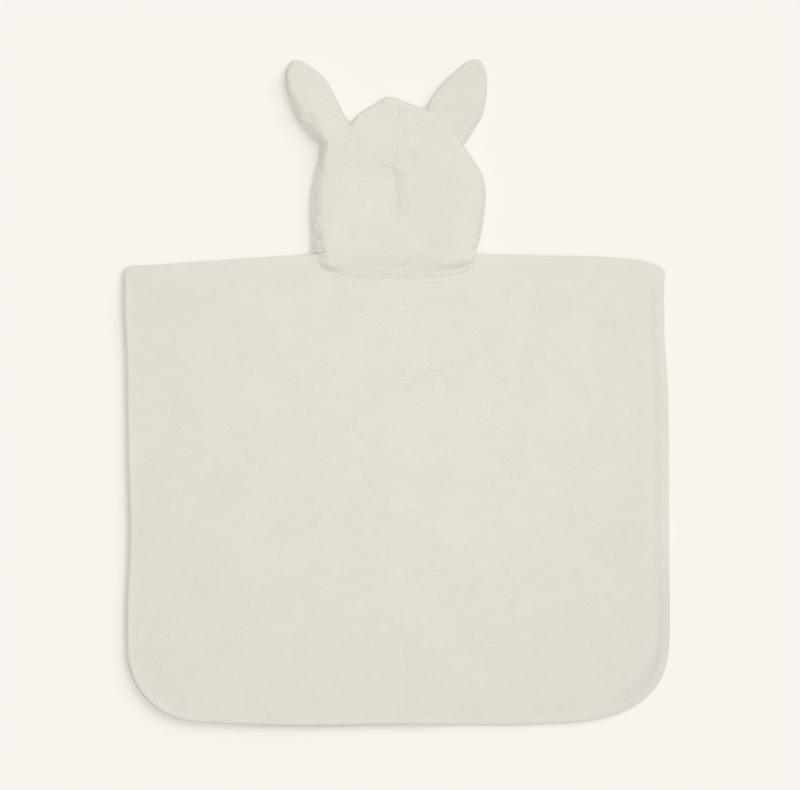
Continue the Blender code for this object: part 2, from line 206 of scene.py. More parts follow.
def gapTo(line, x, y):
    # the distance alone
    return gapAndPlace(line, x, y)[0]


def clothMesh(name, grids, triangles=(), merge=2e-6):
    # quads between neighbouring points of each grid; points closer than the merge distance become one
    corners, quads = [], []
    count = 0
    for grid in grids:
        rows, columns = grid.shape[:2]
        index = np.arange(rows * columns).reshape(rows, columns) + count
        around = [index[:-1, :-1], index[:-1, 1:], index[1:, 1:], index[1:, :-1]]
        quads.append(np.stack(around, axis=-1).reshape(-1, 4))
        corners.append(grid.reshape(-1, 3))
        count += rows * columns
    trios = []
    for block in triangles:
        trios.append(np.arange(len(block) * 3).reshape(-1, 3) + count)
        corners.append(block.reshape(-1, 3))
        count += len(block) * 3
    corners = np.concatenate(corners)
    _, first, merged = np.unique(np.round(corners / merge).astype(np.int64), axis=0, return_index=True,
                                 return_inverse=True)
    merged = merged.reshape(-1)
    quads = merged[np.concatenate(quads)]
    trios = [merged[np.concatenate(trios)]] if trios else []
    # a quad that has shrunk to three corners is a triangle, and one with fewer is left out
    same = [quads[:, k] == quads[:, (k + 1) % 4] for k in range(4)]
    twisted = (quads[:, 0] == quads[:, 2]) | (quads[:, 1] == quads[:, 3])
    closed = np.sum(same, axis=0)
    for k in range(4):
        keep = same[k] & (closed == 1) & ~twisted
        trios.append(quads[keep][:, [(k + 1) % 4, (k + 2) % 4, (k + 3) % 4]])
    quads = quads[(closed == 0) & ~twisted]
    trios = np.concatenate(trios)
    different = (trios[:, 0] != trios[:, 1]) & (trios[:, 1] != trios[:, 2]) & (trios[:, 2] != trios[:, 0])
    trios = trios[different]
    mesh = bpy.data.meshes.new(name)
    mesh.from_pydata(corners[first].tolist(), [], quads.tolist() + trios.tolist())
    return mesh


def finishPiece(name, mesh, material, node=None, sharp=55):
    # one closed skin: normals turned outwards, smooth except where faces meet at more than the sharp angle
    work = bmesh.new()
    work.from_mesh(mesh)
    bmesh.ops.recalc_face_normals(work, faces=work.faces)
    work.to_mesh(mesh)
    work.free()
    mesh.shade_smooth()
    mesh.set_sharp_from_angle(angle=np.radians(sharp))
    mesh.materials.append(material)
    piece = bpy.data.objects.new(name, mesh)
    bpy.context.scene.collection.objects.link(piece)
    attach(piece, "root")
    if node:
        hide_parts(node)
    print(f"{name}: {len(mesh.polygons)} faces")
    return piece


def newMaterial(name, finish):
    # a node material, with the finish's numbers on its shader's own sockets
    material = bpy.data.materials.new(name)
    material.use_nodes = True
    shader = material.node_tree.nodes["Principled BSDF"]
    for socket, value in finish.items():
        shader.inputs[socket].default_value = value
    return material, shader


def addBump(material, shader, height, strength, distance):
    # the shader's normal leans with the slope of distance * height
    bump = material.node_tree.nodes.new("ShaderNodeBump")
    bump.inputs["Strength"].default_value = strength
    bump.inputs["Distance"].default_value = distance
    material.node_tree.links.new(height, bump.inputs["Height"])
    material.node_tree.links.new(bump.outputs["Normal"], shader.inputs["Normal"])


terry = {
    # the body's third colour is the painted shade of the hem band by the right corner
    "body": {"colour": (0.773, 0.742, 0.652), "turn": 0.0, "paintedHemShadeTone": (0.956, 0.950, 0.979)},
    # painted light: the hood's colour is painted brightest at this place
    "hood": {"colour": (0.7680, 0.7342, 0.6475), "turn": 0.0, "paintedLightCentre": (-0.020, 0.300)},
    "earLeft": {"colour": (0.786, 0.759, 0.666), "turn": 12.0},
    "earRight": {"colour": (0.762, 0.734, 0.653), "turn": -20.0},
    "paintedFalloffTone": (0.937, 0.947, 0.966),  # painted shade: the colour is multiplied by this far from the place painted brightest, darker and cooler
    "paintedFalloffDistance": (0.08, 0.62),  # distances between which the painted shade changes
    "paintedLightCentreHeight": 0.006,
    "loopSize": 0.0008,
    "loopStretch": 0.8,
    "loopScatter": 0.8,
    "loopReach": (0.05, 0.80),  # from a loop's middle to its foot, in loops
    # sizes along x, y and z, and detail
    "noises": {
        "streaks": ((0.0152, 0.00204, 0.0017), 2.0),
        "clusters": ((0.045, 0.030, 0.030), 1.0),
        "raised": ((0.0095, 0.0017, 0.0017), 0.5),
        "sunk": ((0.01045, 0.0017, 0.00187), 0.5),
        "mottle": ((0.0169, 0.013, 0.013), 2.0),
        "patches": ((0.070, 0.070, 0.070), 2.0),
    },
    # noise values between which dashes of pile stand up, are pressed down, and gather where pressed down
    "raisedFrom": (0.66, 0.76),
    "sunkFrom": (0.25, 0.35),
    "clustersFrom": (0.40, 0.60),
    # how a layer's values from a to b change the tone from c to d
    "tones": {
        "streaks": (0.2, 0.8, -0.008, 0.008),
        "patches": (0.3, 0.7, -0.008, 0.008),
        "mottle": (0.3, 0.7, -0.008, 0.008),
        # painted shade between the loops: their feet painted darker, their middles lighter
        "pile": (0.0, 1.0, -0.060, 0.026),
    },
    "dashTones": {"raised": 0.026, "sunk": -0.034},
    "heights": {"pile": 0.00034, "streaks": 0.00020, "mottle": 0.00060, "raised": 0.00012, "sunk": -0.00016},
    "bump": (0.5, 1.0),  # strength, distance
    "finish": {
        "Roughness": 0.95,
        "Specular IOR Level": 0.15,
        "Sheen Weight": 0.12,
        "Sheen Roughness": 0.6,
        "Sheen Tint": (1.0, 0.98, 0.94, 1.0),
    },
}


def terryMaterial(name, colour, turn, paintedLightCentre=(0.060, 0.060), paintedHemShadeTone=(1.0, 1.0, 1.0)):
    # looped pile: colour = named colour * (1 + tone), tone and height being sums of layers. Painted light:
    # the colour is painted brightest at one place and painted darker and cooler far from it, and painted
    # shade darkens the hem band
    material, shader = newMaterial(name, terry["finish"])
    nodes, links = material.node_tree.nodes, material.node_tree.links
    place = nodes.new("ShaderNodeTexCoord").outputs["Object"]

    def mapped(scale):
        # coordinates turned, then multiplied by the scale
        mapping = nodes.new("ShaderNodeMapping")
        mapping.inputs["Rotation"].default_value = (0, 0, np.radians(turn))
        mapping.inputs["Scale"].default_value = scale
        links.new(place, mapping.inputs["Vector"])
        return mapping.outputs["Vector"]

    def noise(sizes, detail):
        # noise with one cell to each size
        texture = nodes.new("ShaderNodeTexNoise")
        texture.inputs["Scale"].default_value = 1.0
        texture.inputs["Detail"].default_value = detail
        links.new(mapped([1 / size for size in sizes]), texture.inputs["Vector"])
        return texture.outputs["Fac"]

    def math(operation, a, b):
        # a + b or a * b, each a plain number or another node's output
        node = nodes.new("ShaderNodeMath")
        node.operation = operation
        for socket, value in zip(node.inputs, (a, b)):
            if isinstance(value, (int, float)):
                socket.default_value = value
            else:
                links.new(value, socket)
        return node.outputs[0]

    def between(value, low, high, toLow, toHigh):
        # smooth step from low to high, giving toLow to toHigh
        node = nodes.new("ShaderNodeMapRange")
        node.interpolation_type = "SMOOTHSTEP"
        for key, number in (("From Min", low), ("From Max", high), ("To Min", toLow), ("To Max", toHigh)):
            node.inputs[key].default_value = number
        links.new(value, node.inputs["Value"])
        return node.outputs["Result"]

    def scaled(shares):
        # each named layer times its share
        return [math("MULTIPLY", layers[key], share) for key, share in shares.items()]

    def summed(parts):
        # first + second + third, and so on
        total = parts[0]
        for part in parts[1:]:
            total = math("ADD", total, part)
        return total

    def mixed(first, second, factor):
        # first * (1 - factor) + second * factor
        mix = nodes.new("ShaderNodeMix")
        mix.data_type = "RGBA"
        mix.inputs["A"].default_value = (*first, 1.0)
        mix.inputs["B"].default_value = (*second, 1.0)
        links.new(factor, mix.inputs["Factor"])
        return mix.outputs["Result"]

    layers = {key: noise(*values) for key, values in terry["noises"].items()}
    clusters = between(layers["clusters"], *terry["clustersFrom"], 0.0, 1.0)
    layers["raised"] = between(layers["raised"], *terry["raisedFrom"], 0.0, 1.0)
    layers["sunk"] = math("MULTIPLY", between(layers["sunk"], *terry["sunkFrom"], 1.0, 0.0), clusters)
    loops = nodes.new("ShaderNodeTexVoronoi")
    loops.inputs["Scale"].default_value = 1.0
    loops.inputs["Randomness"].default_value = terry["loopScatter"]
    loop = terry["loopSize"]
    links.new(mapped((terry["loopStretch"] / loop, 1 / loop, 1 / loop)), loops.inputs["Vector"])
    layers["pile"] = between(loops.outputs["Distance"], *terry["loopReach"], 1.0, 0.0)
    tone = summed([between(layers[key], *span) for key, span in terry["tones"].items()]
                  + scaled(terry["dashTones"]))

    # painted light fall-off: distance from the place painted brightest
    paintedFalloffDistance = nodes.new("ShaderNodeVectorMath")
    paintedFalloffDistance.operation = "DISTANCE"
    links.new(place, paintedFalloffDistance.inputs[0])
    paintedFalloffDistance.inputs[1].default_value = (*paintedLightCentre, terry["paintedLightCentreHeight"])
    paintedFalloffColour = [a * b for a, b in zip(colour, terry["paintedFalloffTone"])]
    turned = nodes.new("ShaderNodeAttribute")  # share of the painted hem shade at each point
    turned.attribute_name = "paintedHemShade"
    # painted light: colour mixed towards the painted fall-off tone far from the place painted brightest,
    # times the painted hem shade tone
    paintedLightColour = nodes.new("ShaderNodeVectorMath")
    paintedLightColour.operation = "MULTIPLY"
    links.new(mixed(colour, paintedFalloffColour, between(paintedFalloffDistance.outputs["Value"], *terry["paintedFalloffDistance"], 0.0, 1.0)),
              paintedLightColour.inputs[0])
    links.new(mixed((1.0, 1.0, 1.0), paintedHemShadeTone, turned.outputs["Fac"]), paintedLightColour.inputs[1])
    shaded = nodes.new("ShaderNodeVectorMath")
    shaded.operation = "SCALE"
    links.new(paintedLightColour.outputs["Vector"], shaded.inputs[0])
    links.new(math("ADD", tone, 1.0), shaded.inputs["Scale"])
    links.new(shaded.outputs["Vector"], shader.inputs["Base Color"])
    addBump(material, shader, summed(scaled(terry["heights"])), *terry["bump"])
    return material


bodyTerry = terryMaterial("bodyTerry", **terry["body"])
hoodTerry = terryMaterial("hoodTerry", **terry["hood"])
earTerry = [terryMaterial("ear" + side + "Terry", **terry["ear" + side]) for side in ("Left", "Right")]

panel = {
    # height above the bottom hem, distance out on the left, on the right
    "sides": (
        (0.5838, 0.3512, 0.3449),
        (0.5324, 0.3518, 0.3436),
        (0.4875, 0.3494, 0.3452),
        (0.4425, 0.3483, 0.3484),
        (0.3976, 0.3479, 0.3494),
        (0.3370, 0.3468, 0.3500),
        (0.2470, 0.3445, 0.3500),
        (0.1570, 0.3482, 0.3513),
    ),
    # along the bottom edge: x, how far it lies above its straight line
    "bottomWave": (
        (-0.320, 0.0), (-0.265, 0.0030), (-0.227, 0.0014), (-0.188, -0.0010), (-0.150, -0.0022),
        (-0.111, -0.0024), (-0.073, -0.0018), (-0.034, -0.0010), (0.005, -0.0005), (0.043, 0.0000),
        (0.080, -0.0002), (0.120, -0.0006), (0.160, -0.0002), (0.197, 0.0011), (0.236, 0.0003),
        (0.320, 0.0),
    ),
    "waveFade": 0.030,  # height up the corners over which the wave dies away
    # where the back hangs over the front it droops: depth and width at the hem, where along x it starts and
    # over what length, depth and width at the shoulders, how far in the front lies there, the droop at which
    # it lies fully in, and the droop's width on the underside
    "droop": {"hem": 0.0024, "hemWidth": 0.0360, "hemFrom": (0.010, 0.100), "shoulder": 0.0014,
              "shoulderWidth": 0.0140, "inset": 0.0110, "fullyIn": 0.0010, "underWidth": 0.0165},
    # share of the way from the neck to the side edge, drop on the left, on the right
    "shoulders": (
        (0.00, 0.0000, 0.0000),
        (0.35, 0.0058, 0.0019),
        (0.65, 0.0110, 0.0036),
        (0.87, 0.0145, 0.0083),
        (0.96, 0.0158, 0.0150),
        (1.00, 0.0205, 0.0205),
    ),
    # reach along the hem, reach up the side, roundness of the corner
    "corners": ((0.100, 0.100, 2.0), (0.210, 0.135, 3.2)),
    "band": 0.018,  # width of the rings that follow the edge
    "rings": (0.0, 0.00004, 0.00014, 0.00032, 0.0006, 0.0010, 0.0015, 0.0021, 0.0029, 0.0038, 0.0047,
              0.0057, 0.0067, 0.0077, 0.0087, 0.0093, 0.0099, 0.0107, 0.0118, 0.0132, 0.0139, 0.0148,
              0.0162, 0.0180),
    "fineRings": 0.0022,  # the underside has all the rings up to here, and every other one inside
    # lengths over which the way inwards, the droop and the innermost ring are evened out
    "evened": {"inward": 0.020, "droop": 0.009, "ring": 0.036},
    # the turned hem: ridge height, its distance from the edge, how far it falls outwards and inwards,
    # and the line of stitches; first on the left and the bottom, then on the right
    "hem": ((0.0015, 0.0045, 0.0035, 0.0042, 0.0098), (0.0019, 0.0078, 0.0040, 0.0080, 0.0140)),
    "hemTurns": (0.230, 0.090),  # where along x the one gives way to the other, and over what length
    "hemStops": (-0.034, 0.012),  # where the hem ends, up from the shoulder, and over what length
    # along the right half of the bottom it is flatter: where that starts and ends, and by what shares
    "flatHem": {"start": (0.0, 0.080), "end": (0.235, 0.050), "ridge": 0.75, "groove": 0.6},
    "groove": (0.00018, 0.0011),  # depth, width
    # height of the widest place above the underside, reach of the rounding above it, straight share and
    # power of its roll; on the left, the bottom, the right, and where the bottom is crisp
    "backRim": ((0.0006, 0.0059, 0.30, 1.0), (0.0016, 0.0024, 0.30, 0.85), (0.0012, 0.0034, 0.00, 0.70),
                (0.0012, 0.0008, 0.00, 0.50)),
    "frontRim": ((0.0013, 0.0016, 0.0, 0.5),) * 4,
    "crispRim": ((-0.300, 0.0), (-0.272, 0.8), (-0.200, 0.8), (-0.170, 0.0), (-0.020, 0.0), (0.040, 1.0)),
    "rimTurns": {"up": (0.010, 0.080), "across": (-0.050, 0.100)},  # from bottom to sides, left to right
    "shoulderRadius": 0.0028,
    "shoulderEdge": (0.0003, 0.0002),  # above the underside, of the upper skin and of the lower
    "sewnRadius": 0.0004,
    "roundPower": 0.5,
    # depth, size and seed of the wide soft swells, the smaller ones, and the short level streaks of the pile
    "swells": ((0.00045, 0.150, 0.120, 3), (0.00018, 0.050, 0.038, 4), (0.00007, 0.016, 0.0065, 5)),
    # how far the edges wander, and how far in the front panel's edge lies everywhere
    "backWander": ((0.0002, 0.03, 0.03, 8),),
    "frontWander": ((0.0005, 0.06, 0.06, 9),),
    "frontInset": 0.0006,
    "backGrid": {"columns": 250, "rows": 200, "neckSteps": 90, "ratio": 5},
    "frontGrid": {"columns": 130, "rows": 100, "neckSteps": 50, "ratio": 5},
    # the band by the right corner where painted shade darkens and cools the hem: where it starts on the side
    # and turns the corner and ends on the bottom, its width on the side, how much wider it is round the
    # corner, how softly each of these fades, and how much of it and from where is left out at the very edge
    "paintedHemShade": {"topY": -0.200, "topFade": 0.070, "cornerY": -0.318, "cornerFade": 0.040, "endX": 0.262,
                  "endFade": 0.050, "width": 0.010, "wider": 0.012, "fade": 0.008, "edgeShare": 0.8,
                  "edge": (0.004, 0.010)},
}
# height of the neck seam above the back, how far it is pressed in towards the shoulders, from where and over
# what length, and how far the back rises to it
neckSeam = {"proud": 0.0003, "pressed": 0.0002, "pressedFrom": (0.060, 0.030), "spread": 0.004}

bodyCreases = (
    # small folds on the left, and wide shallow troughs over the back
    (-116, 85, 20, 30, 7, 0.25), (-97, 64, 10, 18, 4, 0.25, 0.1), (-290, -10, 80, 30, 4, 0.22, 0.1),
    (-283, -73, 60, 12, 3, 0.25), (-234, -69, 30, 12, 3, 0.22), (-265, -36, 85, 52, 5, 0.20, 0.08),
    (-272, -347, 75, 34, 5, 0.22, 0.1), (-60, -20, 8, 90, 12, 0.18, 0.05),
    (95, -85, -6, 110, 12, 0.16, -0.05), (160, 30, 12, 80, 10, 0.16, 0.04),
    (-170, -190, -10, 120, 14, 0.20, 0.05), (60, -260, 5, 140, 14, 0.18, 0.03),
    (250, -230, 78, 90, 9, 0.18, 0.04), (300, 60, 84, 120, 8, 0.22, 0.02),
    (-310, 120, 86, 60, 8, 0.18, 0.02),
    # below the neck seam: troughs and low ridges of the seam allowance
    (-7.7, 144.9, 2, 10, 1.5, 0.85), (1.3, 143.2, -4, 8, 1.4, 0.90), (9.3, 145.0, 6, 9, 1.4, 0.75),
    (40.6, 144.5, 3, 8, 1.3, 0.55), (-1.0, 140.7, 0, 20, 1.5, -0.55), (-20.0, 146.3, 4, 8, 1.3, 0.45),
    (-52.0, 150.2, -2, 38, 2.6, -0.60), (-52.0, 144.3, 0, 4, 1.8, 0.80), (-51.0, 140.8, 0, 5, 1.4, -0.6),
    (66.0, 146.6, 12, 14, 1.4, -0.30), (52.7, 141.8, 3, 18, 1.5, -0.65), (28.0, 150.6, 3, 12, 2.6, -0.50),
    (50.0, 150.6, 3, 22, 2.6, -0.45), (88.5, 153.5, 40, 12, 1.6, 0.50), (82.0, 151.2, 14, 12, 1.6, 0.65),
    (67.5, 148.8, 2, 11, 1.6, 0.75), (76.0, 154.0, 8, 26, 3.5, 0.50),
    # the hem is a little fuller here
    (-185, -420.5, 0, 210, 6.0, -0.70),
    # pressed in round the right corner, and low ridges of the hem before it
    (323, -364, 66, 66, 7, 1.00), (297, -393, 36, 56, 7, 1.00), (332, -326, 86, 60, 7, 0.55),
    (152.0, -412.0, 2, 16, 1.6, -0.30), (180.0, -413.5, 4, 10, 1.5, -0.30),
    (163.0, -417.5, 0, 22, 1.6, -0.25),
)


def cornerLine(side, start, end, count=61):
    # superellipse: across = reach * (1 - cos^p), up = reach * (1 - sin^p)
    along, up, roundness = panel["corners"][side]
    edge = panel["sides"][-1][1 + side]
    angle = np.radians(np.linspace(start, end, count))
    x = signs[side] * (edge - along * (1 - np.cos(angle) ** (2 / roundness)))
    high = up * (1 - np.sin(angle) ** (2 / roundness))
    wave = fromTable(panel["bottomWave"], x)[0] * np.clip(1 - high / panel["waveFade"], 0, 1)
    return np.stack([x, cloth["bottomY"] + high + wave], axis=1)


def bottomLine(count=121):
    # straight between the two corners, with its wave
    left, right = cornerLine(0, 90, 90)[0], cornerLine(1, 90, 90)[0]
    x = np.linspace(left[0], right[0], count)[1:-1]
    return np.stack([x, cloth["bottomY"] + fromTable(panel["bottomWave"], x)[0]], axis=1)


def sideLine(side):
    # the upper half of the corner, then the smooth curve through the side's rows
    low = cornerLine(side, 45, 0)
    rows = [(signs[side] * row[1 + side], cloth["bottomY"] + row[0]) for row in reversed(panel["sides"])]
    return np.concatenate([low, smoothCurve([low[-1], *rows])[1:]])


def shoulderLine(side):
    # smooth curve through x = neck + (side - neck) * share, y = shoulder - drop
    half, end = cloth["neckHalf"][side], panel["sides"][0][1 + side]
    return smoothCurve([(signs[side] * (half + (end - half) * row[0]), cloth["shoulderY"] - row[1 + side])
                        for row in panel["shoulders"]])


def neckLine(low, roundness, count=801):
    # superellipse from the left shoulder down to the middle and up to the right shoulder
    angle = np.linspace(-np.pi / 2, np.pi / 2, count)
    half = np.where(angle < 0, *cloth["neckHalf"])
    x = half * np.sign(angle) * np.abs(np.sin(angle)) ** (2 / roundness)
    rise = 1 - np.abs(np.cos(angle)) ** (2 / roundness)
    return np.stack([x, low + (cloth["shoulderY"] - low) * rise], axis=1)


backNeck = neckLine(cloth["napeY"], cloth["backRoundness"])
frontNeck = neckLine(cloth["frontNeckY"], cloth["frontRoundness"])
hemLine = np.concatenate([sideLine(0)[::-1], cornerLine(0, 45, 90)[1:], bottomLine(), cornerLine(1, 90, 45),
                          sideLine(1)[1:]])


def panelLoop(neck, columns, rows, neckSteps):
    # closed outline, anticlockwise from the middle of the left corner, and weights for hem, shoulder, neck
    shoulderSteps = (columns - neckSteps) // 2
    hem = evenLine(np.concatenate([cornerLine(0, 45, 90), bottomLine(), cornerLine(1, 90, 45)]), columns)
    right, left = evenLine(sideLine(1), rows), evenLine(sideLine(0), rows)
    top = np.concatenate([
        evenLine(shoulderLine(0), shoulderSteps)[::-1],
        evenLine(neck, neckSteps)[1:],
        evenLine(shoulderLine(1), shoulderSteps)[1:],
    ])
    loop = np.concatenate([hem, right[1:], top[::-1][1:], left[::-1][1:-1]])
    place = np.arange(len(loop))
    first = columns + rows
    onTop = (place > first) & (place < first + columns)
    onNeck = (place >= first + shoulderSteps) & (place <= first + shoulderSteps + neckSteps)
    kind = np.stack([~onTop, onTop & ~onNeck, onNeck], axis=1).astype(float)
    return loop, kind


def blurred(values, spread):
    # average along a closed loop, weighted by e^(-(offset / spread)^2)
    offsets = np.arange(-3 * spread, 3 * spread + 1)
    weights = bell(offsets, spread)
    return sum(w * np.roll(values, o, axis=0) for w, o in zip(weights / weights.sum(), offsets))


def inwardSteps(loop, spread):
    # at each point, to the left of the way from the point before to the point after, evened out
    ahead = unit(np.roll(loop, -1, axis=0) - np.roll(loop, 1, axis=0))
    return unit(blurred(leftOf(ahead), spread))


def patch(loop, columns, rows):
    # each inner point is blended from the four edges, less the blend of the four corners
    bottom, right = loop[:columns + 1], loop[columns:columns + rows + 1]
    top = loop[columns + rows:2 * columns + rows + 1][::-1]
    left = np.concatenate([loop[2 * columns + rows:], loop[:1]])[::-1]
    a, u = np.linspace(0, 1, columns + 1)[None, :, None], np.linspace(0, 1, rows + 1)[:, None, None]
    low, high = (1 - a) * bottom[0] + a * bottom[-1], (1 - a) * top[0] + a * top[-1]
    return ((1 - u) * bottom[None] + u * top[None] + (1 - a) * left[:, None] + a * right[:, None]
            - (1 - u) * low - u * high)


def stepStrip(fine, coarse, ratio):
    # triangles from a fine loop to a loop that has one point for every ratio of its points
    n, half = len(coarse), ratio // 2
    fine = np.concatenate([fine, fine[:1]])
    coarse = np.concatenate([coarse, coarse[:1]])
    j, k = np.meshgrid(np.arange(n), np.arange(ratio), indexing="ij")
    tip = coarse[j + (k >= half)]
    fan = np.stack([fine[j * ratio + k], fine[j * ratio + k + 1], tip], axis=2).reshape(-1, 3, 3)
    j = np.arange(n)
    middle = np.stack([fine[j * ratio + half], coarse[j + 1], coarse[j]], axis=1)
    return np.concatenate([fan, middle])


def withHeight(plan, height):
    # x and y joined by z
    return np.concatenate([plan, np.broadcast_to(height, plan.shape[:-1])[..., None]], axis=-1)


def closedRows(grid):
    # each row ends where it starts
    return np.concatenate([grid, grid[:, :1]], axis=1)


def seamHeight(x):
    # top of the neck seam: level with the back in the middle, pressed in towards the shoulders
    pressed = neckSeam["pressed"] * ramp(np.abs(x), *neckSeam["pressedFrom"])
    return cloth["backTop"] + neckSeam["proud"] - pressed


def hemShape(x):
    # the five numbers of the hem, blended from its left form to its right form across the right corner
    share = ramp(x, *panel["hemTurns"])
    return [a + (b - a) * share for a, b in zip(*panel["hem"])]


def rimShape(x, y, rows):
    # the numbers of the rim, blended from side to side across the two bottom corners
    low = 1 - ramp(y - cloth["bottomY"], *panel["rimTurns"]["up"])
    right = ramp(x, *panel["rimTurns"]["across"])
    crisp = fromTable(panel["crispRim"], x)[0]
    return [(1 - low) * ((1 - right) * a + right * c) + low * ((1 - crisp) * b + crisp * d)
            for a, b, c, d in zip(*rows)]


def hemDroop(x):
    # none on the left, its full depth on the right
    return panel["droop"]["hem"] * ramp(x, *panel["droop"]["hemFrom"])


def backHeight(x, y, hemDistance=None):
    # level + swells + creases + seam * e^(-(distance from the neck / spread)^2) - droop; with a distance
    # from the hem also + ridge * e^(-((distance - its place) / width)^2) - the groove of the stitches
    z = cloth["backTop"] + swells(x, y, panel["swells"]) + creases(x, y, bodyCreases)
    z += (seamHeight(x) - cloth["backTop"]) * bell(gapTo(backNeck[::4], x, y), neckSeam["spread"])
    inland = hemDistance is None
    if inland:
        hemDistance = gapTo(hemLine[::5], x, y)
    z -= hemDroop(x) * (1 - smoothStep(hemDistance / panel["droop"]["hemWidth"]))
    if inland:
        return z
    stop, over = panel["hemStops"]
    ends = 1 - ramp(y, cloth["shoulderY"] + stop, over)
    rise, ridge, outer, inner, line = hemShape(x)
    flat = panel["flatHem"]
    soft = ramp(x, *flat["start"]) * (1 - ramp(x, *flat["end"]))
    width = np.where(hemDistance < ridge, outer, inner)
    hem = rise * (1 - flat["ridge"] * soft) * bell(hemDistance - ridge, width)
    depth, narrow = panel["groove"]
    hem -= depth * (1 - flat["groove"] * soft) * bell(hemDistance - line, narrow)
    return z + hem * ends


def frontHeight(x, y, hemDistance=None):
    # level
    return np.full(np.shape(x), cloth["terry"])


def makePanel(name, node, neck, top, under, rim, shift, columns, rows, neckSteps, ratio):
    # rings follow the edge, a patch fills the inside; the underside is the same with every ratio-th point.
    # On the rings: height = edge + (surface - edge) * roll(distance from the edge / reach)
    loop, kind = panelLoop(neck, columns, rows, neckSteps)
    spacing = np.linalg.norm(loop[1] - loop[0])
    droop, evened = panel["droop"], panel["evened"]
    inward = inwardSteps(loop, max(2, round(evened["inward"] / spacing)))
    sag = blurred(np.stack([kind[:, 0] * hemDroop(loop[:, 0]), kind[:, 1] * droop["shoulder"]]).T,
                  max(2, round(evened["droop"] / spacing)))
    hemSag, shoulderSag, sag = sag[:, 0], sag[:, 1], sag.sum(1)
    kind = blurred(kind, 1)
    hem, shoulder, neckShare = kind.T
    inset = shift(loop, droop["inset"] * smoothStep(sag / droop["fullyIn"])) * (1 - neckShare)
    loop = loop + inset[:, None] * inward
    innerLoop = blurred(loop + panel["band"] * inward, max(3, round(evened["ring"] / spacing)))
    rings = np.array(panel["rings"])
    plan = loop[None] + rings[:, None, None] / panel["band"] * (innerLoop - loop)[None]
    edgeGap = gapTo(np.concatenate([loop, loop[:1]]), plan[..., 0], plan[..., 1])
    high = top(plan[..., 0], plan[..., 1], gapTo(hemLine, plan[..., 0], plan[..., 1]))
    widest, rounding, straight, power = rimShape(loop[:, 0], loop[:, 1], rim)
    upperEdge, lowerEdge = panel["shoulderEdge"]
    sewn = panel["sewnRadius"]
    outer = hem * (under + widest) + shoulder * (under + upperEdge) + neckShare * high[0]
    inner = hem * (under + widest) + shoulder * (under + lowerEdge) + neckShare * under
    reach = hem * rounding + shoulder * panel["shoulderRadius"] + neckShare * sewn
    power = hem * power + (1 - hem) * panel["roundPower"]
    if under > 0:
        outer = outer - hemSag
    upper = outer + (high - outer) * roll(edgeGap / reach, hem * straight, power)
    lower = inner + (under - inner) * roll(edgeGap / (hem * widest + (1 - hem) * sewn))
    if under > 0:
        upper = upper - shoulderSag * (1 - smoothStep(edgeGap / droop["shoulderWidth"]))
        lower = lower - sag * (1 - smoothStep(edgeGap / droop["underWidth"]))
    inside = patch(plan[-1], columns, rows)
    insideTop = withHeight(inside, top(inside[..., 0], inside[..., 1]))
    bandTop = withHeight(plan, upper)
    bandTop[-1, :, 2] = top(plan[-1, :, 0], plan[-1, :, 1])
    few = [k for k, ring in enumerate(rings) if ring <= panel["fineRings"] or k % 2]
    bandUnder = withHeight(plan[few], lower[few])
    bandUnder[-1, :, 2] = under
    coarse = withHeight(plan[-1][::ratio], under)
    insideUnder = withHeight(patch(plan[-1][::ratio], columns // ratio, rows // ratio), under)
    wall = np.stack([bandTop[0], bandUnder[0]])
    grids = [closedRows(bandTop), insideTop, closedRows(bandUnder), insideUnder, closedRows(wall)]
    mesh = clothMesh(name, grids, [stepStrip(bandUnder[-1], coarse, ratio)])
    return finishPiece(name, mesh, bodyTerry, node)


def paintedHemShade(x, y, gap):
    # share of the painted hem shade, ends * inner * outer: 1 inside the band, fading out up the side, along
    # the bottom and inwards, and round the corner also at the very edge
    band = panel["paintedHemShade"]
    corner = smoothStep((band["cornerY"] - y) / band["cornerFade"])
    ends = smoothStep((band["topY"] - y) / band["topFade"]) * ramp(x, band["endX"], band["endFade"])
    inner = 1 - smoothStep((gap - band["width"] - band["wider"] * corner) / band["fade"])
    outer = 1 - band["edgeShare"] * corner * (1 - ramp(gap, *band["edge"]))
    return ends * inner * outer


print("body panels")
backPanel = makePanel(
    "backPanel", "back_panel", backNeck, backHeight, cloth["backUnder"], panel["backRim"],
    lambda loop, inset: swells(loop[:, 0], loop[:, 1], panel["backWander"]), **panel["backGrid"])
points = np.empty(len(backPanel.data.vertices) * 3, np.float32)
backPanel.data.vertices.foreach_get("co", points)
points = points.reshape(-1, 3)[:, :2].astype(float)
# painted hem shade: its share at each point of the back, read by the material
paintedHemShadeShare = paintedHemShade(points[:, 0], points[:, 1], nearestOn(points, hemLine[::3])[0])
backPanel.data.attributes.new("paintedHemShade", "FLOAT", "POINT").data.foreach_set("value", paintedHemShadeShare)
frontPanel = makePanel(
    "frontPanel", "front_panel", frontNeck, frontHeight, 0.0, panel["frontRim"],
    lambda loop, inset: inset + panel["frontInset"] + swells(loop[:, 0], loop[:, 1], panel["frontWander"]),
    **panel["frontGrid"])


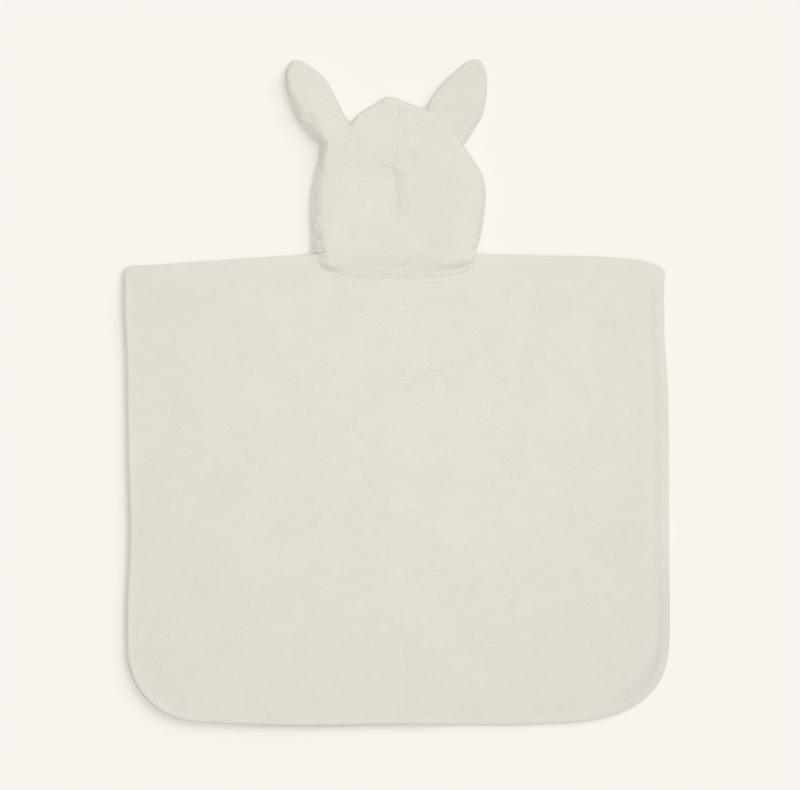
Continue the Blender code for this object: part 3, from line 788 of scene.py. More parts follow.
hood = {
    # distance out from the crown seam and height above the nape, from the neck round to the crown
    "outline": (
        (
            (0.1087, 0.0300), (0.1090, 0.0500), (0.1107, 0.0715), (0.1108, 0.0925), (0.1093, 0.1125),
            (0.1054, 0.1329), (0.1003, 0.1535), (0.0975, 0.1685), (0.0790, 0.1830), (0.0597, 0.1958),
            (0.0525, 0.2070), (0.0417, 0.2151), (0.0289, 0.2228), (0.0190, 0.2297), (0.0096, 0.2320),
            (0.0000, 0.2306),
        ),
        (
            (0.1020, 0.0300), (0.1028, 0.0390), (0.1070, 0.0530), (0.1111, 0.0715), (0.1139, 0.0925),
            (0.1150, 0.1125), (0.1101, 0.1329), (0.0976, 0.1535), (0.0863, 0.1695), (0.0751, 0.1830),
            (0.0623, 0.1958), (0.0482, 0.2074), (0.0392, 0.2145), (0.0186, 0.2226), (0.0000, 0.2306),
        ),
    ),
    "earRows": ((7, 9), (8, 12)),  # where the ear's base starts and ends
    "rows": 300,
    "upperSteps": 110,
    "turnSteps": 10,
    "underSteps": 18,
    "rimSteps": 6,
    "seamCrowd": 0.85,  # how much closer the columns lie at the crown seam and the edge
    "neckCrowd": (0.08, 0.15),  # how much closer the rows lie at the neck, and over what share
    # radius of the turned edge at the neck and the crown, at the side and at the ear, how far outside the
    # ear's base the ear's starts to change, and how far inside it is reached, in places of the outline
    "fold": {"ends": 0.0042, "side": 0.0032, "ear": 0.0010, "outside": 0.6, "inside": 0.1},
    "crownLean": 0.8,  # the most of its radius by which the turned edge may lean across the crown seam
    "seamGap": 0.00002,
    "neckPull": 0.45,  # share of the hood over which the pull onto the necklines fades
    "thinned": 0.008,  # distance from the edge over which the wall turns from level to upright
    "hollow": 0.0003,
    "top": 0.0110,
    "length": 0.23,
    "puff": (0.0007, 0.105, 0.5),  # height, half width, power of its shape along the hood
    "riseRoll": (0.35, 1.0),  # straight share and power of the rise above the neck seam
    "faceHalf": 0.055,
    "faceTop": 0.182,
    # height above the nape, sideways wander of the crown seam, depth of its slit, and the valley beside it:
    # where it is deepest, its depth and the width of its steep right side
    "seam": (
        (0.0000, 0.0020, 0.00010, -0.0020, 0.0000, 0.010),
        (0.0620, 0.0019, 0.00010, -0.0030, 0.0000, 0.009),
        (0.0711, 0.0019, 0.00015, -0.0070, 0.0008, 0.0150),
        (0.0801, 0.0012, 0.00015, -0.0100, 0.0020, 0.0190),
        (0.0930, 0.0000, 0.00010, -0.0105, 0.0034, 0.0235),
        (0.1058, 0.0005, 0.00010, -0.0060, 0.0032, 0.0210),
        (0.1187, -0.0008, 0.00010, -0.0050, 0.0030, 0.0185),
        (0.1277, -0.0019, 0.00005, -0.0065, 0.0028, 0.0160),
        (0.1379, -0.0033, 0.00005, -0.0095, 0.0021, 0.0120),
        (0.1460, -0.0040, 0.00005, -0.0085, 0.0012, 0.0095),
        (0.1572, -0.0010, 0.00008, -0.0020, 0.0002, 0.009),
        (0.1700, 0.0005, 0.00010, 0.0042, 0.0007, 0.009), (0.1850, 0.0010, 0.00010, 0.0047, 0.0006, 0.010),
        (0.2110, 0.0012, 0.00010, 0.0040, 0.0001, 0.010), (0.2306, 0.0000, 0.00010, 0.0040, 0.0000, 0.010),
    ),
    "slitHalf": 0.0021,
    "slitNoise": ((0.5, 1.0, 0.0045, 31),),
    "valleyWander": ((0.0016, 0.010, 0.006, 32),),
    "valleyNoise": ((0.25, 1.0, 0.0070, 33),),
    "valleyLeft": 0.045,  # width of its gentle left side
    # nubs on its steep side: their shape, height, the valley's depth at which they are full, how far along
    # the steep side they lie and how wide they spread
    "nubShape": ((0.6, 0.0034, 0.0026, 34), (0.4, 0.0060, 0.0036, 35)),
    "nubs": (0.00048, 0.0016, 0.6, 0.010),
    # depth, size and seed of wide swells, small nubs and short level streaks of the pile
    "swells": ((0.00040, 0.055, 0.060, 21), (0.00016, 0.020, 0.016, 22), (0.00007, 0.0085, 0.0040, 23)),
}

# middle of the base, lean from +Y in radians, distance of the tip along the axis and outwards, and rows:
# distance along the axis, inner width, outer width
ears = (
    {"base": (-0.0790, 0.3301), "lean": -0.4927, "tip": (0.1105, -0.0030), "rows": (
        (0.018, 0.0228, 0.0300), (0.036, 0.0234, 0.0332), (0.054, 0.0240, 0.0326), (0.070, 0.0228, 0.0298),
        (0.086, 0.0170, 0.0257), (0.098, 0.0110, 0.0200), (0.106, 0.0050, 0.0125))},
    {"base": (0.0636, 0.3391), "lean": 0.4306, "tip": (0.0975, 0.0020), "rows": (
        (0.020, 0.0335, 0.0346), (0.034, 0.0314, 0.0356), (0.048, 0.0288, 0.0328), (0.062, 0.0236, 0.0290),
        (0.076, 0.0175, 0.0230), (0.087, 0.0120, 0.0165), (0.0935, 0.0060, 0.0100))},
)
earCloth = {
    "sunk": 0.0012,  # how far the left ear sinks below the hood's surface, and from where
    "sunkFrom": (0.030, 0.045),
    "top": 0.0090,  # the right ear's height, how far it is tucked in at its joint, and the reach of its rise
    "tucked": 0.0002,
    "rise": 0.013,
    "crowd": 0.8,  # how much closer the columns lie at the two edges
    "seamGap": 0.00004,
    "basePull": 0.45,  # share of the ear over which the bend of its base fades
    "backEdge": 0.004,  # how far in the back layer reaches its full thickness
    "frontEdge": (0.0020, 0.003),  # height and reach of the front layer's rounding
    "backGrid": (120, 80),
    "frontGrid": (60, 40),
}


def hoodOutline(side, places):
    # smooth curve through the outline's points, set out to its side and up from the nape
    points = through(hood["outline"][side], places)
    return np.stack([signs[side] * points[:, 0], cloth["napeY"] + points[:, 1]], axis=1)


def hoodPlaces(side, count, dense=3000):
    # places along the outline, closer together at the neck: u - pull * (1 - e^(-u / reach)), scaled to
    # end at 1
    places = np.linspace(0, len(hood["outline"][side]) - 1, dense)
    length = lengthAlong(hoodOutline(side, places))
    pull, reach = hood["neckCrowd"]
    u = np.linspace(0, 1, count + 1)
    u = u - pull * (1 - np.exp(-u / reach))
    return np.interp(u / u[-1] * length[-1], length, places)


def earEdges(side):
    # the two side edges of an ear, from its base to its tip: base + distance * axis + width * outward
    ear, sign = ears[side], signs[side]
    axis = np.array([np.sin(ear["lean"]), np.cos(ear["lean"])])
    outward = sign * np.array([axis[1], -axis[0]])
    base = np.array(ear["base"])
    tip = base + ear["tip"][0] * axis + sign * ear["tip"][1] * outward
    start, end = hood["earRows"][side]
    ends = hoodOutline(side, np.array([end, start], float))
    lines = []
    for sense, column, corner in ((-1, 1, ends[0]), (1, 2, ends[1])):
        rows = [base + row[0] * axis + sense * row[column] * outward for row in ear["rows"]]
        lines.append(smoothCurve([corner, *rows, tip]))
    return lines


def outlinePart(side, first, last, count=400):
    # the outline between two places
    return hoodOutline(side, np.linspace(first, last, count))


def joinLine(side):
    # the outline along the ear's base
    return outlinePart(side, *hood["earRows"][side], count=200)


# what the upper surface rounds down to along the silhouette. Rows: share of the section's length,
# reach of the rounding, height left at the edge, straight share and power of the roll
edgeTables = {
    "leftSide": (
        (0.0, 0.0110, 0.0048, 0.1, 0.95), (0.035, 0.0165, 0.0036, 0.35, 1.0),
        (0.2, 0.0158, 0.0029, 0.42, 1.0), (0.75, 0.0155, 0.0029, 0.42, 1.0),
        (0.9, 0.0125, 0.0033, 0.30, 1.0), (1.0, 0.0120, 0.0033, 0.30, 1.0),
    ),
    "leftEar": (
        (0.0, 0.0125, 0.0032, 0.30, 1.0), (0.05, 0.0190, 0.0028, 0.35, 1.0),
        (0.15, 0.0220, 0.0027, 0.30, 1.0), (0.22, 0.0130, 0.0031, 0.20, 1.0),
        (0.30, 0.0095, 0.0034, 0.15, 1.0), (0.40, 0.0075, 0.0038, 0.1, 0.9),
        (0.50, 0.0065, 0.0042, 0.0, 0.75), (0.60, 0.0045, 0.0048, 0.0, 0.5),
        (1.0, 0.0045, 0.0048, 0.0, 0.5),
    ),
    "leftCrown": (
        (0.0, 0.005, 0.0046, 0.0, 0.5), (0.3, 0.008, 0.0044, 0.0, 0.5), (1.0, 0.008, 0.0044, 0.0, 0.5),
    ),
    "rightCrown": (
        (0.0, 0.008, 0.0044, 0.0, 0.5), (0.8, 0.007, 0.0044, 0.0, 0.5), (1.0, 0.007, 0.0050, 0.0, 0.5),
    ),
    "rightJoin": (
        (0.0, 0.007, 0.0064, 0.0, 0.5), (0.15, 0.007, 0.0080, 0.0, 0.5), (0.35, 0.006, 0.0093, 0.0, 0.5),
        (0.6, 0.006, 0.0092, 0.0, 0.5), (0.8, 0.008, 0.0078, 0.0, 0.55), (1.0, 0.009, 0.0064, 0.0, 0.6),
    ),
    "rightSide": (
        (0.0, 0.0085, 0.0046, 0.1, 0.8), (0.25, 0.0094, 0.0022, 0.50, 1.0),
        (0.75, 0.0094, 0.0020, 0.50, 1.0), (0.88, 0.0108, 0.0024, 0.50, 1.0),
        (1.0, 0.0090, 0.0056, 0.30, 1.0),
    ),
    "rightEar": (
        (0.0, 0.010, 0.0036, 0.3, 0.9), (0.12, 0.011, 0.0024, 0.3, 1.0), (0.25, 0.0085, 0.0032, 0.2, 0.9),
        (0.40, 0.007, 0.0042, 0.0, 0.55), (0.5, 0.006, 0.0048, 0.0, 0.5), (0.6, 0.004, 0.0052, 0.0, 0.45),
        (1.0, 0.004, 0.0052, 0.0, 0.45),
    ),
}
edging = {
    "step": 0.0005,
    "reachNoise": ((0.16, 0.017, 0.014, 41),),
    # lumps of the seam allowance: their shape, how far in they start, the shares of the reach from which and
    # over which they end, and the reach at which they are full
    "lumps": ((0.00075, 0.0085, 0.0070, 42), (0.00036, 0.0040, 0.0032, 43)),
    "lumpStart": 0.004,
    "lumpEnd": (0.5, 0.8),
    "lumpReach": 0.012,
    "notchStart": 0.0015,
}


def section(name, line):
    # the line at even steps, each with the numbers of its table
    line = evenLine(line, max(4, round(lengthAlong(line)[-1] / edging["step"])))
    return np.column_stack([line, *fromTable(edgeTables[name], shareAlong(line))])


leftInner, leftOuter = earEdges(0)
rightInner, rightOuter = earEdges(1)
leftStart, leftEnd = hood["earRows"][0]
rightStart, rightEnd = hood["earRows"][1]
silhouette = np.concatenate([
    section("leftSide", outlinePart(0, 0, leftStart)),
    section("leftEar", np.concatenate([leftOuter, leftInner[::-1][1:]])),
    section("leftCrown", outlinePart(0, leftEnd, len(hood["outline"][0]) - 1)),
    section("rightCrown", outlinePart(1, len(hood["outline"][1]) - 1, rightEnd)),
    section("rightJoin", outlinePart(1, rightEnd, rightStart)),
    section("rightSide", outlinePart(1, rightStart, 0)),
])
rightEarEdge = section("rightEar", np.concatenate([rightOuter, rightInner[::-1][1:]]))

hoodCreases = (
    # the fuller left side and the base of the left ear, and the hollow next to the right ear
    (-80, 245, 90, 190, 22, -1.3), (104, 192, 78, 52, 13, 1.6),
    # the left shoulder's fold, full above and hollow below; the left ear's base; a notch by the right ear
    (-86.5, 190.0, 78, 34, 9.0, -2.0), (-109, 169, 4, 34, 11, 3.4), (-97, 160.5, -24, 24, 3.4, 0.8),
    (-99, 345, 118, 92, 26, -2.2), (40.5, 358.5, 84, 10, 2.0, 1.4),
    # beside the crown seam
    (-1.6, 240.5, 90, 13, 2.2, 0.30), (-2.3, 276, 80, 13, 2.0, 0.40), (-4.4, 284, 70, 5, 1.3, 0.45),
    (-0.4, 261, 80, 3.5, 1.1, 0.6), (-2.0, 266, 20, 3, 1.1, 0.5), (3.0, 246, 84, 6, 1.3, 0.4),
    (-5.2, 279, 90, 5, 1.2, 0.30), (-3.4, 270, 60, 3, 1.1, 0.35), (6.5, 251, 80, 5, 1.3, 0.35),
    (1.6, 254.4, 60, 3.4, 1.3, 0.9), (0.8, 250.0, 70, 3.4, 1.2, 0.7), (1.9, 236.4, 80, 3.6, 1.3, 0.9),
    (2.0, 226.5, 92, 6, 1.7, 0.7), (-4.4, 291.5, 88, 5, 1.4, 0.5), (10.9, 297, 90, 40, 2.0, 0.25),
    (12.5, 236, 70, 16, 3.0, 0.45), (3.0, 311, 90, 20, 2.2, -0.55), (-3.2, 321, 86, 12, 2.2, -0.3),
    (1.6, 358.5, 86, 11, 2.2, 1.1), (-22.6, 370.6, 60, 11, 3.2, 1.2), (5.5, 269.5, 10, 6, 1.0, -0.5),
    (7.4, 243, 60, 7, 1.3, -0.45), (-3.6, 208, 88, 12, 2.6, -0.25),
    # the left flank, and one fold on the right
    (-103.4, 240, 82, 12, 2.4, 0.8), (-100.8, 210, 86, 15, 2.4, 0.9, 0.1), (-99, 195, 60, 5, 1.8, 0.8),
    (-104.5, 187, 92, 14, 2.2, 0.6), (-104.5, 262, 84, 18, 2.2, 0.5), (-99, 225, 100, 9, 1.8, 0.5),
    (101.8, 182.0, -60, 6, 1.8, 0.5), (-93.8, 300.5, 4, 7, 1.1, -0.35), (-93.8, 281, -4, 7, 1.1, -0.35),
    (-93.0, 269.7, 6, 7, 1.1, -0.30), (-92, 252, 0, 9, 1.6, 0.3), (-90, 203, -12, 14, 2.0, 0.35),
    (-97, 285, 80, 26, 3.0, 0.4),
    # the left ear's lower side and where it runs into the hood
    (-128, 366, -66, 22, 3.2, 0.5, 0.05), (-121, 349, -60, 12, 2.2, 0.6), (-133, 381, -72, 14, 2.6, 0.4),
    (-110, 352, -56, 16, 2.2, 0.35), (-116, 341, -45, 9, 1.8, 0.6), (-104, 333, -50, 9, 1.6, 0.5),
    (-102.1, 322.4, -45, 8, 1.8, 0.8), (-97.0, 315, -40, 7, 1.6, 0.8), (-117.5, 357, -50, 24, 3.0, 0.45),
    (-106.5, 343, -58, 20, 3.0, 0.55), (-100.8, 329, -70, 18, 2.5, 0.60), (-112, 338, -52, 10, 1.6, 0.35),
    # above the neck seam
    (84.0, 158.8, 12, 26, 2.3, 1.6, 0.25), (96.0, 165.0, 52, 15, 2.0, 1.3),
    (100.2, 171.5, 68, 13, 1.9, 1.5), (68.0, 157.4, -4, 20, 2.1, 1.1),
    (-90.0, 156.2, -14, 22, 1.9, 0.8, 0.1), (-104.0, 162.0, -38, 13, 1.9, 0.7),
    (9.0, 161.0, 30, 14, 2.0, 2.5), (2.6, 159.2, 4, 14, 3.0, 1.8), (-5.1, 157.4, 0, 7, 1.8, 2.0),
    (-17.0, 160.5, 10, 9, 2.4, 1.8), (-13.5, 165.0, 60, 8, 2.0, 1.0), (2.0, 151.4, 2, 22, 2.2, -0.55),
    (50.0, 152.6, 5, 22, 1.9, -0.30), (78.0, 165.0, 8, 26, 3.0, 0.25), (-86, 170.0, -10, 30, 3.5, 0.30),
    # soft dents
    (62, 240, 80, 60, 9, 0.25, 0.05), (48, 300, 60, 50, 8, 0.22), (-52, 270, 95, 80, 11, 0.25, 0.03),
    (-45, 200, 10, 50, 8, 0.22), (55, 190, -8, 44, 7, 0.22), (100, 250, 84, 40, 3.5, 0.30),
)

earCreases = (
    (87.0, 329.0, 28, 26, 3.5, 0.50), (100.0, 341.0, 55, 20, 3.0, 0.35), (66.0, 352.0, 60, 30, 5.0, 0.25),
    (95.0, 385.0, 62, 36, 6.0, 0.25), (52.0, 354.0, 50, 10, 2.0, 0.30),
)

# x, flat band above the neck seam, reach of the rise above it, share of its soft foot
neckRise = (
    (-0.110, 0.0000, 0.0190, 0.5), (-0.102, 0.0000, 0.0150, 0.4), (-0.093, 0.0008, 0.0095, 0.2),
    (-0.080, 0.0014, 0.0100, 0.3), (-0.066, 0.0005, 0.0180, 0.4), (-0.045, 0.0, 0.0320, 0.5),
    (0.0, 0.0, 0.0380, 0.5), (0.030, 0.0, 0.0330, 0.55), (0.048, 0.0010, 0.0230, 0.65),
    (0.062, 0.0030, 0.0140, 0.85), (0.072, 0.0040, 0.0105, 1.0), (0.086, 0.0035, 0.0090, 0.9),
    (0.096, 0.0015, 0.0080, 0.7), (0.103, 0.0005, 0.0060, 0.5),
)

# small folds and ridges made after the edge is rounded
hoodNotches = (
    (-101.4, 178.2, 2, 20, 1.0, 2.6), (-94.8, 181.8, 72, 5, 1.4, 0.8), (-98.0, 186.5, 40, 3.4, 1.2, 0.5),
    (-103.0, 165.3, -22, 18, 1.9, 0.8), (101.0, 171.5, 66, 14, 1.9, 1.1), (97.5, 166.5, 48, 10, 1.9, 0.5),
    # low ridges along the upper side of the neck seam
    (-52.0, 150.6, -2, 42, 2.1, -0.6), (28.0, 151.4, 3, 14, 2.0, -0.55), (50.0, 151.2, 3, 24, 2.0, -0.5),
    (9.0, 150.2, 0, 18, 1.6, -0.3), (-17.0, 150.4, 2, 10, 1.6, -0.3), (-101.6, 203.4, 85, 4.5, 1.3, 1.0),
    (-98.2, 194.5, 30, 4, 1.2, 0.9), (-103.0, 215.5, 88, 6, 1.3, 0.6), (-100.0, 207.5, 10, 4, 1.2, -0.5),
    (-103.4, 233.0, 84, 8, 1.4, 0.45), (-104.2, 250.0, 92, 9, 1.4, 0.40),
    (-101.0, 262.0, 80, 7, 1.5, 0.35), (-104.0, 330.5, -52, 5, 1.4, 0.7),
    (-107.5, 336.0, -45, 5, 1.5, 0.6), (-113.5, 343.0, -52, 7, 1.8, 0.5),
    (-119.0, 352.5, -58, 8, 2.0, 0.5), (101.0, 184.0, -60, 5, 1.4, 0.35), (39.8, 358.3, 75, 8, 1.4, 1.2),
)


def hoodPlain(x, y):
    # the puffed top: base + (top + puff - seam + swells + creases - base) * rise, where rise goes from 0 at
    # the neck seam to 1 beyond its band, and seam = slit * e^(-(off / half)^2) + valley * its side + nubs
    gap = gapTo(backNeck[::4], x, y)
    band, reach, soft = fromTable(neckRise, x)
    t = (gap - band) / reach
    rise = soft * smoothStep(t) + (1 - soft) * roll(t, *hood["riseRoll"])
    up = np.clip((y - cloth["napeY"]) / hood["length"], 0, 1)
    height, half, power = hood["puff"]
    puff = height * np.sin(np.pi * np.clip(np.abs(x) / half, 0, 1)) * np.sin(np.pi * up) ** power
    wander, slit, deepest, depth, steep = fromTable(hood["seam"], y - cloth["napeY"])
    slit = slit * (1 + swells(x * 0, y, hood["slitNoise"]))
    seam = slit * bell(x - wander, hood["slitHalf"])
    off = x - deepest - swells(x, y, hood["valleyWander"])
    depth = depth * (1 + swells(x * 0, y, hood["valleyNoise"]))
    seam += depth * np.where(off < 0, bell(off, hood["valleyLeft"]), 1 - smoothStep(off / steep))
    proud, fullDepth, along, spread = hood["nubs"]
    nubs = swells(x, y, hood["nubShape"]) * smoothStep(depth / fullDepth)
    seam += proud * nubs * bell(x - deepest - along * steep, spread)
    high = hood["top"] + puff - seam + swells(x, y, hood["swells"]) + creases(x, y, hoodCreases)
    base = seamHeight(x)
    return base + (high - base) * rise


def edged(x, y, plain, edge):
    # edge + (plain - edge) * roll(distance from the edge / reach) + lumps + notches
    gap, place = gapAndPlace(edge[:, :2], x, y)
    index = np.arange(len(edge))
    reach, low, straight, power = (np.interp(place, index, column) for column in edge.T[2:])
    reach = reach * (1 + swells(x, y, edging["reachNoise"]))
    share = roll(gap / reach, straight, power)
    endFrom, endOver = edging["lumpEnd"]
    lumps = swells(x, y, edging["lumps"]) * np.clip(gap / edging["lumpStart"], 0, 1)
    lumps *= 1 - ramp(gap, endFrom * reach, endOver * reach)
    notched = lumps * np.clip(reach / edging["lumpReach"], 0, 1) + creases(x, y, hoodNotches)
    return low + (plain - low) * share + notched * smoothStep(gap / edging["notchStart"]), gap


def hoodHeight(x, y):
    # the puffed top, rounded down to the silhouette
    return edged(x, y, hoodPlain(x, y), silhouette)


def leftEarHeight(x, y):
    # the hood's surface carried on, sinking away from the joint
    sunk = earCloth["sunk"] * ramp(gapTo(joinLine(0), x, y), *earCloth["sunkFrom"])
    return edged(x, y, hoodPlain(x, y) - sunk, silhouette)


def rightEarHeight(x, y):
    # low + (high - low) * smooth step of the distance from the joint / reach; low is the hood's edge there
    join = joinLine(1)[::-1]
    gap, place = gapAndPlace(join, x, y)
    low = fromTable(edgeTables["rightJoin"], place / (len(join) - 1))[1] - earCloth["tucked"]
    high = earCloth["top"] + swells(x, y, hood["swells"]) + creases(x, y, earCreases)
    return edged(x, y, low + (high - low) * smoothStep(gap / earCloth["rise"]), rightEarEdge)


def makeHoodHalf(side, name, node, near=0.03):
    # rows run from the neck to the crown; columns from the crown seam over the top, round the edge and under
    # to the face opening: seam * (1 - a) + outline * a, then a quarter circle of the fold's radius, then
    # straight in. The inner skin is the same, moved in by the wall's thickness. The outline's direction is
    # that from a place just before to one just after
    sign, last = signs[side], len(hood["outline"][side]) - 1
    places = hoodPlaces(side, hood["rows"])
    outline = hoodOutline(side, places)
    before, after = np.maximum(places - near, 0), np.minimum(places + near, last)
    outward = -sign * leftOf(unit(hoodOutline(side, after) - hoodOutline(side, before)))
    share = shareAlong(outline)
    start, end = hood["earRows"][side]
    fold = hood["fold"]
    radius = fromTable((
        (0, fold["ends"]), (1, fold["side"]), (start - fold["outside"], fold["side"]),
        (start + fold["inside"], fold["ear"]), (end - fold["inside"], fold["ear"]),
        (end + fold["outside"], fold["ends"]), (last, fold["ends"]),
    ), places)[0]
    lean = np.minimum(np.abs(outward[:, 0]), hood["crownLean"] * np.abs(outline[:, 0]) / radius)
    crown = places > end
    lean = lean[crown]
    outward[crown] = np.stack([np.sign(outward[crown, 0]) * lean, np.sqrt(1 - lean**2)], axis=1)
    outward[0] = (sign, 0)

    seamUp = (outline[-1, 1] - cloth["napeY"]) * share
    seamX = fromTable(hood["seam"], seamUp)[0] + sign * hood["seamGap"]
    seam = np.stack([seamX, cloth["napeY"] + seamUp], axis=1)
    outline[-1] = seam[-1]
    across = crowded(hood["upperSteps"], hood["seamCrowd"])[None, :, None]
    upper = seam[:, None] * (1 - across) + outline[:, None] * across
    angle = np.linspace(0, np.pi / 2, hood["turnSteps"] + 1)[1:]
    turned = outline[:, None] - (radius[:, None] * (1 - np.cos(angle)))[:, :, None] * outward[:, None]
    low = cloth["frontNeckY"]
    high = cloth["napeY"] + hood["faceTop"]
    face = np.stack([sign * hood["faceHalf"] * np.sin(np.pi * share),
                     low + (high - low) * (1 - np.cos(np.pi * share)) / 2], axis=1)
    inwards = np.linspace(0, 1, hood["underSteps"] + 1)[None, 1:, None]
    under = turned[:, -1:] * (1 - inwards) + face[:, None] * inwards
    plan = np.concatenate([upper, turned, under], axis=1)

    # the first row is moved onto the back neckline above and the front neckline below, and this fades out
    # up the hood
    count = upper.shape[1]
    order = np.argsort(backNeck[:, 0])
    target = np.interp(plan[0, :, 0], backNeck[order, 0], backNeck[order, 1])
    target[count:] = np.interp(plan[0, count:, 0], frontNeck[order, 0], frontNeck[order, 1])
    fade = np.clip(1 - share / hood["neckPull"], 0, 1)[:, None] ** 2
    plan[:, :, 1] += fade * (target - plan[0, :, 1])[None]

    top, gap = hoodHeight(plan[:, :count, 0], plan[:, :count, 1])
    edgeTop = top[:, -1:]
    height = np.concatenate([top, edgeTop * (1 - np.sin(angle)), np.zeros(under.shape[:2])], axis=1)
    wall = cloth["terry"]
    upright = (1 - np.clip(gap / hood["thinned"], 0, 1)) ** 2
    innerPlan = plan.copy()
    innerPlan[:, :count] -= (wall * upright)[:, :, None] * outward[:, None]
    innerPlan[:, count:count + len(angle)] -= (wall * np.cos(angle))[None, :, None] * outward[:, None]
    innerPlan[-1] = plan[-1]
    innerPlan[:, 0] = plan[:, 0]
    innerPlan[0] = plan[0]
    innerHeight = np.concatenate([
        np.maximum(top - wall * (1 - upright), wall + hood["hollow"]),
        edgeTop * (1 - np.sin(angle)) + wall * np.sin(angle),
        np.full(under.shape[:2], wall),
    ], axis=1)
    outer, inner = withHeight(plan, height), withHeight(innerPlan, innerHeight)
    # rounded edge of the face opening: half a circle as high as the wall
    ahead = unit(plan[:, -1] - plan[:, -2])
    bulge = np.linspace(0, np.pi, hood["rimSteps"] + 1)
    rimPlan = plan[:, -1][:, None] + (wall / 2 * np.sin(bulge))[None, :, None] * ahead[:, None]
    rimPlan[0], rimPlan[-1] = plan[0, -1], plan[-1, -1]
    rim = withHeight(rimPlan, (wall / 2 * (1 - np.cos(bulge)))[None, :])
    grids = [outer, inner, rim, np.stack([outer[0], inner[0]]), np.stack([outer[-1], inner[-1]]),
             np.stack([outer[:, 0], inner[:, 0]])]
    return finishPiece(name, clothMesh(name, grids), hoodTerry, node)


print("hood")
hoodLeft = makeHoodHalf(0, "hoodLeft", "hood_left")
hoodRight = makeHoodHalf(1, "hoodRight", "hood_right")


def earPlan(side, length, width, towards=4):
    # straight rows between the two edges, bent at the base to follow the hood's outline; the base is moved
    # off it by the seam's gap, towards the middle of an early row
    inner, outer = (evenLine(edge, length) for edge in earEdges(side))
    across = crowded(width, earCloth["crowd"])
    grid = inner[:, None] * (1 - across)[None, :, None] + outer[:, None] * across[None, :, None]
    start, end = hood["earRows"][side]
    line = outlinePart(side, end, start)
    base = np.stack([np.interp(across, shareAlong(line), line[:, k]) for k in (0, 1)], axis=1)
    middle = grid[towards, width // 2] - base[width // 2]
    base += earCloth["seamGap"] * middle / np.linalg.norm(middle)
    fade = np.clip(1 - np.linspace(0, 1, length + 1) / earCloth["basePull"], 0, 1) ** 2
    return grid + fade[:, None, None] * (base - grid[0])[None]


def makeEar(side, layer, name, node):
    # the back layer hangs from the ear's surface by the cloth's thickness, and the front layer lies on the
    # floor, its edge lifted by height * (1 - roll(distance from the edge / reach))
    plan = earPlan(side, *earCloth[layer + "Grid"])
    x, y = plan[..., 0], plan[..., 1]
    height, gap = (leftEarHeight, rightEarHeight)[side](x, y)
    if layer == "back":
        top = height
        under = np.maximum(cloth["backUnder"], height - cloth["terry"])
        share = smoothStep(gap / earCloth["backEdge"])
        under = cloth["backUnder"] + (under - cloth["backUnder"]) * share
    else:
        top = np.full(x.shape, cloth["terry"])
        lift, reach = earCloth["frontEdge"]
        under = lift * (1 - roll(gap / reach))
    upper, lower = withHeight(plan, top), withHeight(plan, under)
    grids = [upper, lower, np.stack([upper[0], lower[0]]), np.stack([upper[:, 0], lower[:, 0]]),
             np.stack([upper[:, -1], lower[:, -1]]), np.stack([upper[-1], lower[-1]])]
    return finishPiece(name, clothMesh(name, grids), earTerry[side], node)


print("ears")
earLeftBack = makeEar(0, "back", "earLeftBack", "ear_left_back")
earLeftFront = makeEar(0, "front", "earLeftFront", "ear_left_front")
earRightBack = makeEar(1, "back", "earRightBack", "ear_right_back")
earRightFront = makeEar(1, "front", "earRightFront", "ear_right_front")


stitch = {
    "pitch": 0.0031,
    "length": 0.0022,
    "radius": 0.00026,
    "sunk": 0.00005,
    "taper": 0.4,
    "steps": 5,
    "sides": 6,
    "first": 0.001,
    "path": 1200,  # steps of the hem, and how many of them are left out at each end
    "left": 6,
    "wander": ((0.04, 0.05, 0.05, 12),),
    "finish": {"Base Color": (0.76, 0.735, 0.655, 1.0), "Roughness": 0.7},
    "twist": 2500.0,
    "bump": (0.4, 0.0001),  # strength, distance
}


def threadMaterial(name):
    # one plain colour, its bump a fine noise of so many cells a metre
    material, shader = newMaterial(name, stitch["finish"])
    nodes, links = material.node_tree.nodes, material.node_tree.links
    twist = nodes.new("ShaderNodeTexNoise")
    twist.inputs["Scale"].default_value = stitch["twist"]
    links.new(nodes.new("ShaderNodeTexCoord").outputs["Object"], twist.inputs["Vector"])
    addBump(material, shader, twist.outputs["Fac"], *stitch["bump"])
    return material


def stitches(name, line, height, thread):
    # short round-ended threads along a line: radius * sin(pi t)^taper about a straight axis
    length = lengthAlong(line)
    starts = np.arange(stitch["first"], length[-1] - stitch["length"], stitch["pitch"])
    t = np.linspace(0, 1, stitch["steps"] + 1)
    at = starts[:, None] + stitch["length"] * t
    centre = np.stack([np.interp(at, length, line[:, k]) for k in (0, 1)], axis=-1)
    aside = leftOf(unit(centre[:, -1] - centre[:, 0]))
    turn = np.linspace(0, 2 * np.pi, stitch["sides"] + 1)
    thick = stitch["radius"] * np.sin(np.pi * t) ** stitch["taper"]
    thick[[0, -1]] = 0
    plan = centre[:, :, None] + (thick[:, None] * np.cos(turn))[None, :, :, None] * aside[:, None, None]
    level = height(centre[..., 0], centre[..., 1])[:, :, None] - stitch["sunk"]
    solid = withHeight(plan, level + (thick[:, None] * np.sin(turn))[None])
    return finishPiece(name, clothMesh(name, list(solid)), thread, sharp=80)


def stitchPath():
    # the hem's edge moved in by the place of its stitches, between the two shoulder corners
    line = evenLine(hemLine, stitch["path"])
    inset = hemShape(line[:, 0])[-1] * (1 + swells(line[:, 0], line[:, 1], stitch["wander"]))
    inward = leftOf(unit(np.gradient(line, axis=0)))
    return (line + inset[:, None] * inward)[stitch["left"]:-stitch["left"]]


def hemTop(x, y):
    # height of the back over the hem
    return backHeight(x, y, gapTo(hemLine, x, y))


print("sewing")
hemStitches = stitches("hemStitches", stitchPath(), hemTop, threadMaterial("tonalThread"))

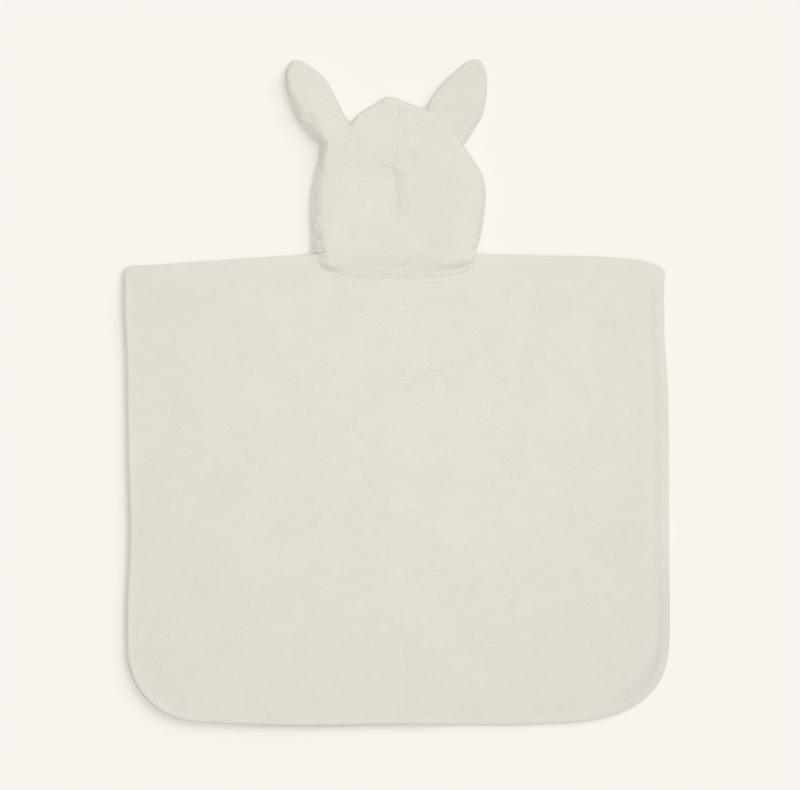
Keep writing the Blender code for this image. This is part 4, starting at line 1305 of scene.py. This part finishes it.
stage = {
    "paper": {"Base Color": (0.955, 0.903, 0.861, 1.0), "Roughness": 1.0, "Specular IOR Level": 0.0},
    "floorHalf": 6.0,
    "world": 0.27,
    # strength on a level surface, softness, tilt from straight above, direction it comes from, what it lights
    "lights": {
        "overheadLight": (0.31, 140.0, 3.0, 30.0, "all"),
        "clothOverheadLight": (0.28, 130.0, 3.0, 30.0, "cloth"),
        "clothSideLight": (0.20, 50.0, 38.0, 40.0, "cloth"),
        "floorOverheadLight": (0.219, 20.0, 0.0, 0.0, "floor"),
        "floorSideLight": (0.195, 34.0, 64.0, 42.0, "floor"),
    },
    "viewWidth": 1.0275,
    "centre": (0.0045, -0.0039, 0.005),
    "lens": 85.0,
    "sensor": 36.0,
    "farthest": 50.0,
}

half = stage["floorHalf"]
floorMesh = bpy.data.meshes.new("floor")
floorCorners = [(-half, -half, 0), (half, -half, 0), (half, half, 0), (-half, half, 0)]
floorMesh.from_pydata(floorCorners, [], [(0, 1, 2, 3)])
floorMesh.materials.append(newMaterial("creamPaper", stage["paper"])[0])
floor = bpy.data.objects.new("floor", floorMesh)
bpy.context.scene.collection.objects.link(floor)

world = bpy.data.worlds.new("studio")
bpy.context.scene.world = world
world.use_nodes = True
world.node_tree.nodes["Background"].inputs["Color"].default_value = (1.0, 1.0, 1.0, 1.0)
world.node_tree.nodes["Background"].inputs["Strength"].default_value = stage["world"]


def addSun(name, strength, angle, tilt, towards, lit):
    # energy = pi * strength / cos(tilt), so that a level surface gets the strength
    lamp = bpy.data.lights.new(name, "SUN")
    lamp.energy = np.pi * strength / np.cos(np.radians(tilt))
    lamp.angle = np.radians(angle)
    sun = bpy.data.objects.new(name, lamp)
    sun.rotation_euler = (0, np.radians(tilt), np.radians(towards))
    bpy.context.scene.collection.objects.link(sun)
    if lit != "all":
        receivers = bpy.data.collections.new(name + "Receivers")
        receivers.objects.link(floor)
        sun.light_linking.receiver_collection = receivers
        receivers.collection_objects[0].light_linking.link_state = "INCLUDE" if lit == "floor" else "EXCLUDE"


print("lights and camera")
for light, values in stage["lights"].items():
    addSun(light, *values)

lens = bpy.data.cameras.new("camera")
lens.lens = stage["lens"]
lens.sensor_width = stage["sensor"]
lens.clip_end = stage["farthest"]
camera = bpy.data.objects.new("camera", lens)
distance = stage["lens"] / stage["sensor"] * stage["viewWidth"]
camera.location = (stage["centre"][0], stage["centre"][1], stage["centre"][2] + distance)
bpy.context.scene.collection.objects.link(camera)
bpy.context.scene.camera = camera
bpy.context.scene.view_settings.view_transform = "Standard"
bpy.context.scene.view_settings.look = "None"
